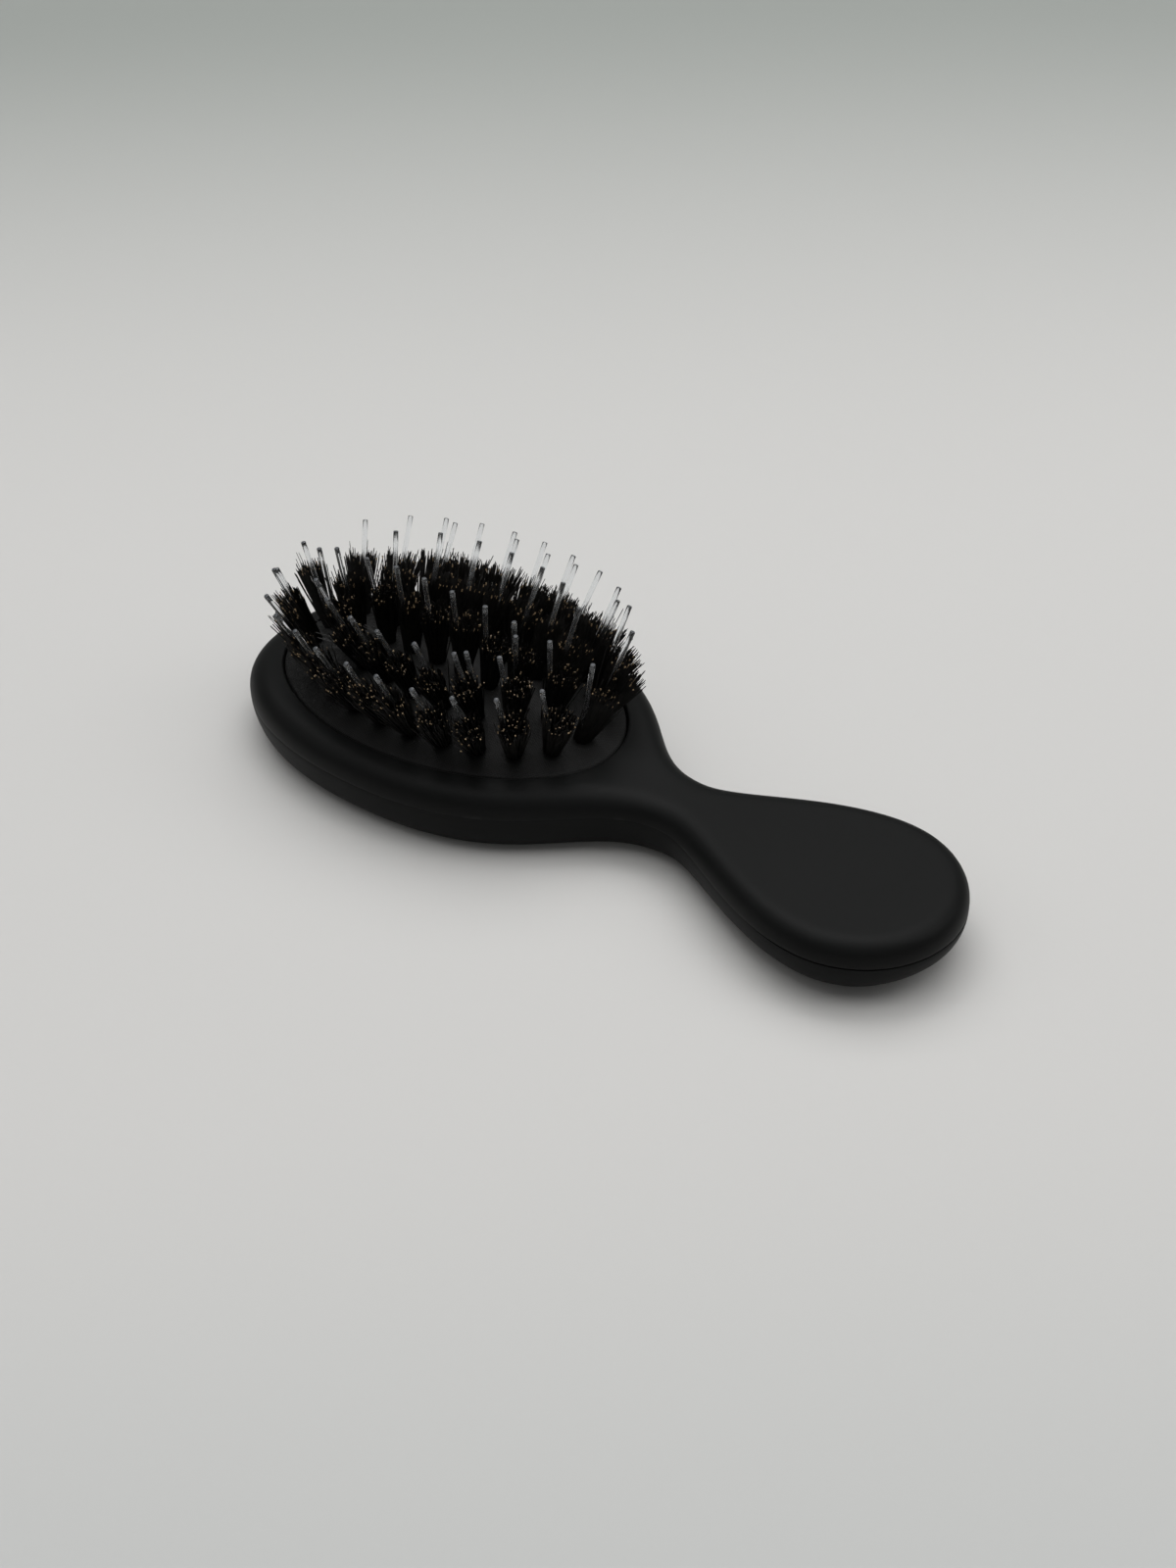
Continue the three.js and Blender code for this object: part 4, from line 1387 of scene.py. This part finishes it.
def nylon_material(f):
    """Clear nylon."""
    material, tree, shader = new_material("clear_filament")
    shader.inputs["Base Color"].default_value = (*f.nylon, 1)
    shader.inputs["Transmission Weight"].default_value = 0.975
    shader.inputs["IOR"].default_value = 1.5
    place = add_node(tree, "ShaderNodeTexCoord").outputs["Object"]
    streak = maths(tree, "MULTIPLY", noise(tree, place, STREAK_SCALE), STREAK_ROUGHNESS)
    tree.links.new(maths(tree, "ADD", streak, LEAST_ROUGHNESS), shader.inputs["Roughness"])
    return material


MATERIAL_MAKERS = {
    "soft_touch_black": soft_touch_material,
    "inner_plastic_black": inner_material,
    "ribbed_rubber": rubber_material,
    "boar_black": bristle_material,
    "boar_golden_tip": bristle_tip_material,
    "clear_filament": nylon_material,
    "cut_filament": cut_nylon_material,
}


def finish_with(thing, *names):
    """Gives a piece its materials, made once and shared."""
    finishes = bpy.context.scene.brush_finishes
    faces = [face.material_index for face in thing.data.polygons]
    thing.data.materials.clear()
    for name in names:
        thing.data.materials.append(bpy.data.materials.get(name) or MATERIAL_MAKERS[name](finishes))
    thing.data.polygons.foreach_set("material_index", faces)


# Stage

# Brightness of the room as it is seen and as it lights the brush, and its colour
ROOM_SEEN = 0.62
ROOM_LIGHT = 0.05
ROOM_COLOUR = (0.985, 1.0, 0.99, 1)

# The floor, in metres: where it fades into the room, and where painted shade darkens it near the camera and
# far off
FLOOR_FADE = (0.55, 1.75)
NEAR_FLOOR_SHADE = (-0.17, -0.06)
FAR_FLOOR_SHADE = (0.06, 0.56)


def camera_axes(g):
    """Directions to the camera, to its right and up."""
    az, el, roll = g.camera_azimuth, g.camera_elevation, g.camera_roll
    back = Vector((math.sin(az) * math.cos(el), -math.cos(az) * math.cos(el), math.sin(el)))
    right = Vector((math.cos(az), math.sin(az), 0))
    up = back.cross(right)
    turned_right = right * math.cos(roll) + up * math.sin(roll)
    turned_up = up * math.cos(roll) - right * math.sin(roll)
    return back, turned_right, turned_up


def make_camera(g):
    """The camera at the photograph's place."""
    back, right, up = camera_axes(g)
    across = (g.origin_x - PICTURE_WIDTH / 2) / g.focal * g.camera_distance
    down = (g.origin_y - PICTURE_HEIGHT / 2) / g.focal * g.camera_distance
    data = bpy.data.cameras.new("photo_camera")
    data.sensor_width = SENSOR
    data.lens = g.focal / PICTURE_HEIGHT * SENSOR
    data.clip_start = 0.01
    data.clip_end = 20
    camera = bpy.data.objects.new("photo_camera", data)
    camera.matrix_world = Matrix((right, up, back)).transposed().to_4x4()
    camera.location = back * g.camera_distance - right * across + up * down
    bpy.context.scene.collection.objects.link(camera)
    bpy.context.scene.camera = camera


def floor_axes(g):
    """Directions along the floor: away from the camera, and to its right."""
    az = g.camera_azimuth
    return np.array([-math.sin(az), math.cos(az), 0]), np.array([math.cos(az), math.sin(az), 0])


def make_floor(g):
    """A pale floor that sweeps up into the backdrop, on the far side from the camera."""
    away, across = floor_axes(g)
    profile = [(-g.floor_half, 0.0), (0.0, 0.0), (g.sweep_distance, 0.0)]
    for k in range(1, SWEEP_STEPS + 1):
        turn = k / SWEEP_STEPS * math.pi / 2
        profile.append((
            g.sweep_distance + g.sweep_radius * math.sin(turn),
            g.sweep_radius * (1 - math.cos(turn)),
        ))
    profile.append((g.sweep_distance + g.sweep_radius, g.sweep_height))
    draft = MeshDraft()
    rows = [
        draft.add([away * d + across * w + np.array([0, 0, z]) for w in (-g.floor_half, 0, g.floor_half)])
        for d, z in profile
    ]
    for a, b in zip(rows, rows[1:]):
        draft.bridge(a, b, closed=False)
    floor = draft.piece("pale_floor", sharp_angle=60)
    floor.data.materials.append(floor_material(away))
    return floor


def floor_material(away):
    """Pale paper with painted shade that darkens it away from the brush, and that fades into the room where
    the camera sees it.
    """
    f = bpy.context.scene.brush_finishes
    material, tree, shader = new_material("pale_paper")
    place = add_node(tree, "ShaderNodeTexCoord").outputs["Object"]
    run = vector_maths(tree, "DOT_PRODUCT", place, away)["Value"]
    # Painted shade: the floor darker close to the camera and far behind the brush
    near = mix_colour(tree, ramp(tree, run, *NEAR_FLOOR_SHADE, "SMOOTHSTEP"), f.near_floor_shade, f.floor)
    shaded_floor_colour = mix_colour(tree, ramp(tree, run, *FAR_FLOOR_SHADE, "SMOOTHSTEP"), near, f.far_floor_shade)
    grain = place_group(
        tree, "Moulded grain", Variation=0.02, Roughness=0.7, Smudge=0.04, Grain_Scale=900,
        Smudge_Scale=8,
    )
    tree.links.new(shaded_floor_colour, grain.inputs["Colour"])
    tree.links.new(grain.outputs["Colour"], shader.inputs["Base Color"])
    tree.links.new(grain.outputs["Roughness"], shader.inputs["Roughness"])
    shader.inputs["Specular IOR Level"].default_value = 0.2
    far = add_node(tree, "ShaderNodeVectorMath", operation="LENGTH")
    tree.links.new(place, far.inputs[0])
    fade = ramp(tree, far.outputs["Value"], *FLOOR_FADE, "SMOOTHSTEP", ROOM_SEEN)
    seen = add_node(tree, "ShaderNodeLightPath").outputs["Is Camera Ray"]
    tree.links.new(maths(tree, "MULTIPLY", fade, seen), shader.inputs["Emission Strength"])
    shader.inputs["Emission Color"].default_value = ROOM_COLOUR
    return material


def make_lamp(name, place, size, power):
    """A large soft lamp that faces the brush."""
    data = bpy.data.lights.new(name, "AREA")
    data.shape = "RECTANGLE"
    data.size, data.size_y = size
    data.energy = power
    lamp = bpy.data.objects.new(name, data)
    lamp.visible_camera = False
    lamp.location = place
    lamp.rotation_euler = (-Vector(place)).to_track_quat("-Z", "Y").to_euler()
    bpy.context.scene.collection.objects.link(lamp)


# Lamps: place away from the camera, to its right and up, width and height in metres, and power
LAMPS = {
    "overhead_lamp": ((0, 0, 1.4), (1.4, 1.4), 9.3),
    "far_lamp": ((0.75, 0, 1.25), (1.6, 0.9), 10.3),
    "left_lamp": ((0, -1.0, 1.0), (1.0, 1.0), 1.9),
    "right_lamp": ((0, 1.0, 1.0), (1.0, 1.0), 4.5),
    "near_lamp": ((-1.2, 0, 0.84), (1.8, 0.7), 1.7),
}


def make_light(g):
    """Soft lamps overhead and on the far side, weaker ones around, and a faint light from everywhere."""
    world = bpy.data.worlds.new("soft_room")
    world.use_nodes = True
    tree = world.node_tree
    shade = tree.nodes["Background"]
    shade.inputs["Color"].default_value = ROOM_COLOUR
    seen = add_node(tree, "ShaderNodeLightPath").outputs
    pale = maths(tree, "MAXIMUM", seen["Is Camera Ray"], seen["Is Transmission Ray"])
    strength = maths(tree, "MAXIMUM", maths(tree, "MULTIPLY", pale, ROOM_SEEN), ROOM_LIGHT)
    tree.links.new(strength, shade.inputs["Strength"])
    bpy.context.scene.world = world
    away, across = (Vector(axis) for axis in floor_axes(g))
    for name, ((ahead, side, up), size, power) in LAMPS.items():
        make_lamp(name, away * ahead + across * side + Vector((0, 0, up)), size, power)


# Operators


class BRUSH_OT_front_shell(bpy.types.Operator):
    """Build the front half of the body"""

    bl_idname = "brush.front_shell"
    bl_label = "Front Shell"

    def execute(self, context):
        thing = make_front_shell(context.scene.brush_body)
        finish_with(thing, "soft_touch_black")
        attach(thing, "body")
        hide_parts("front_shell")
        return {"FINISHED"}


class BRUSH_OT_back_shell(bpy.types.Operator):
    """Build the back half of the body"""

    bl_idname = "brush.back_shell"
    bl_label = "Back Shell"

    def execute(self, context):
        thing = make_back_shell(context.scene.brush_body)
        finish_with(thing, "soft_touch_black")
        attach(thing, "body")
        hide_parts("back_shell")
        return {"FINISHED"}


class BRUSH_OT_backing_plate(bpy.types.Operator):
    """Finish the tray under the cushion"""

    bl_idname = "brush.backing_plate"
    bl_label = "Backing Plate"

    def execute(self, context):
        finish_with(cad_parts["cushion_backing_plate"], "inner_plastic_black")
        return {"FINISHED"}


class BRUSH_OT_cushion(bpy.types.Operator):
    """Build the rubber cushion"""

    bl_idname = "brush.cushion"
    bl_label = "Cushion"

    def execute(self, context):
        body = context.scene.brush_body
        cushion = context.scene.brush_cushion
        thing = make_cushion(body, cushion)
        finish_with(thing, "ribbed_rubber")
        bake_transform(thing)
        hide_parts("cushion_pad")
        return {"FINISHED"}


class BRUSH_OT_boar_tufts(bpy.types.Operator):
    """Build the boar tufts"""

    bl_idname = "brush.boar_tufts"
    bl_label = "Boar Tufts"

    def execute(self, context):
        thing = make_boar_tufts(context.scene.brush_body, context.scene.brush_tufts)
        finish_with(thing, "boar_black", "boar_golden_tip")
        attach(thing, "cushion")
        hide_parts("boar_bristles")
        return {"FINISHED"}


class BRUSH_OT_clear_pins(bpy.types.Operator):
    """Build the clear pins"""

    bl_idname = "brush.clear_pins"
    bl_label = "Clear Pins"

    def execute(self, context):
        for thing, node in make_clear_pins(context.scene.brush_pins):
            finish_with(thing, "clear_filament", "cut_filament")
            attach(thing, "cushion")
            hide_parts(node)
        return {"FINISHED"}


class BRUSH_OT_stage(bpy.types.Operator):
    """Set up the floor, the backdrop, the light and the camera"""

    bl_idname = "brush.stage"
    bl_label = "Stage"

    def execute(self, context):
        stage = context.scene.brush_stage
        make_camera(stage)
        make_floor(stage)
        make_light(stage)
        context.scene.view_settings.view_transform = "Standard"
        return {"FINISHED"}


GROUPS = (
    ("brush_body", BrushBodySizes),
    ("brush_cushion", BrushCushionSizes),
    ("brush_tufts", BrushTuftSizes),
    ("brush_pins", BrushPinSizes),
    ("brush_finishes", BrushFinishes),
    ("brush_stage", BrushStageSizes),
)
OPERATORS = (
    BRUSH_OT_stage,
    BRUSH_OT_front_shell,
    BRUSH_OT_back_shell,
    BRUSH_OT_backing_plate,
    BRUSH_OT_cushion,
    BRUSH_OT_boar_tufts,
    BRUSH_OT_clear_pins,
)


class BRUSH_PT_parts(bpy.types.Panel):
    """Lists the brush's parts and their sizes"""

    bl_idname = "BRUSH_PT_parts"
    bl_label = "Hair Brush"
    bl_space_type = "VIEW_3D"
    bl_region_type = "UI"
    bl_category = "Brush"

    def draw(self, context):
        for operator in OPERATORS:
            self.layout.operator(operator.bl_idname)
        for name, group in GROUPS:
            box = self.layout.box()
            box.label(text=group.__doc__)
            for key in group.__annotations__:
                box.prop(getattr(context.scene, name), key)


def register():
    """Registers the property groups, the operators and the panel."""
    for name, group in GROUPS:
        bpy.utils.register_class(group)
        setattr(bpy.types.Scene, name, bpy.props.PointerProperty(type=group))
    for cls in (*OPERATORS, BRUSH_PT_parts):
        bpy.utils.register_class(cls)


def unregister():
    """Takes everything back."""
    for cls in reversed((*OPERATORS, BRUSH_PT_parts)):
        bpy.utils.unregister_class(cls)
    for name, group in reversed(GROUPS):
        delattr(bpy.types.Scene, name)
        bpy.utils.unregister_class(group)


def main():
    """Builds the whole brush and its stage."""
    register()
    bpy.ops.brush.stage()
    bpy.ops.brush.front_shell()
    bpy.ops.brush.back_shell()
    bpy.ops.brush.backing_plate()
    bpy.ops.brush.cushion()
    bpy.ops.brush.boar_tufts()
    bpy.ops.brush.clear_pins()


if __name__ == "__main__":
    main()
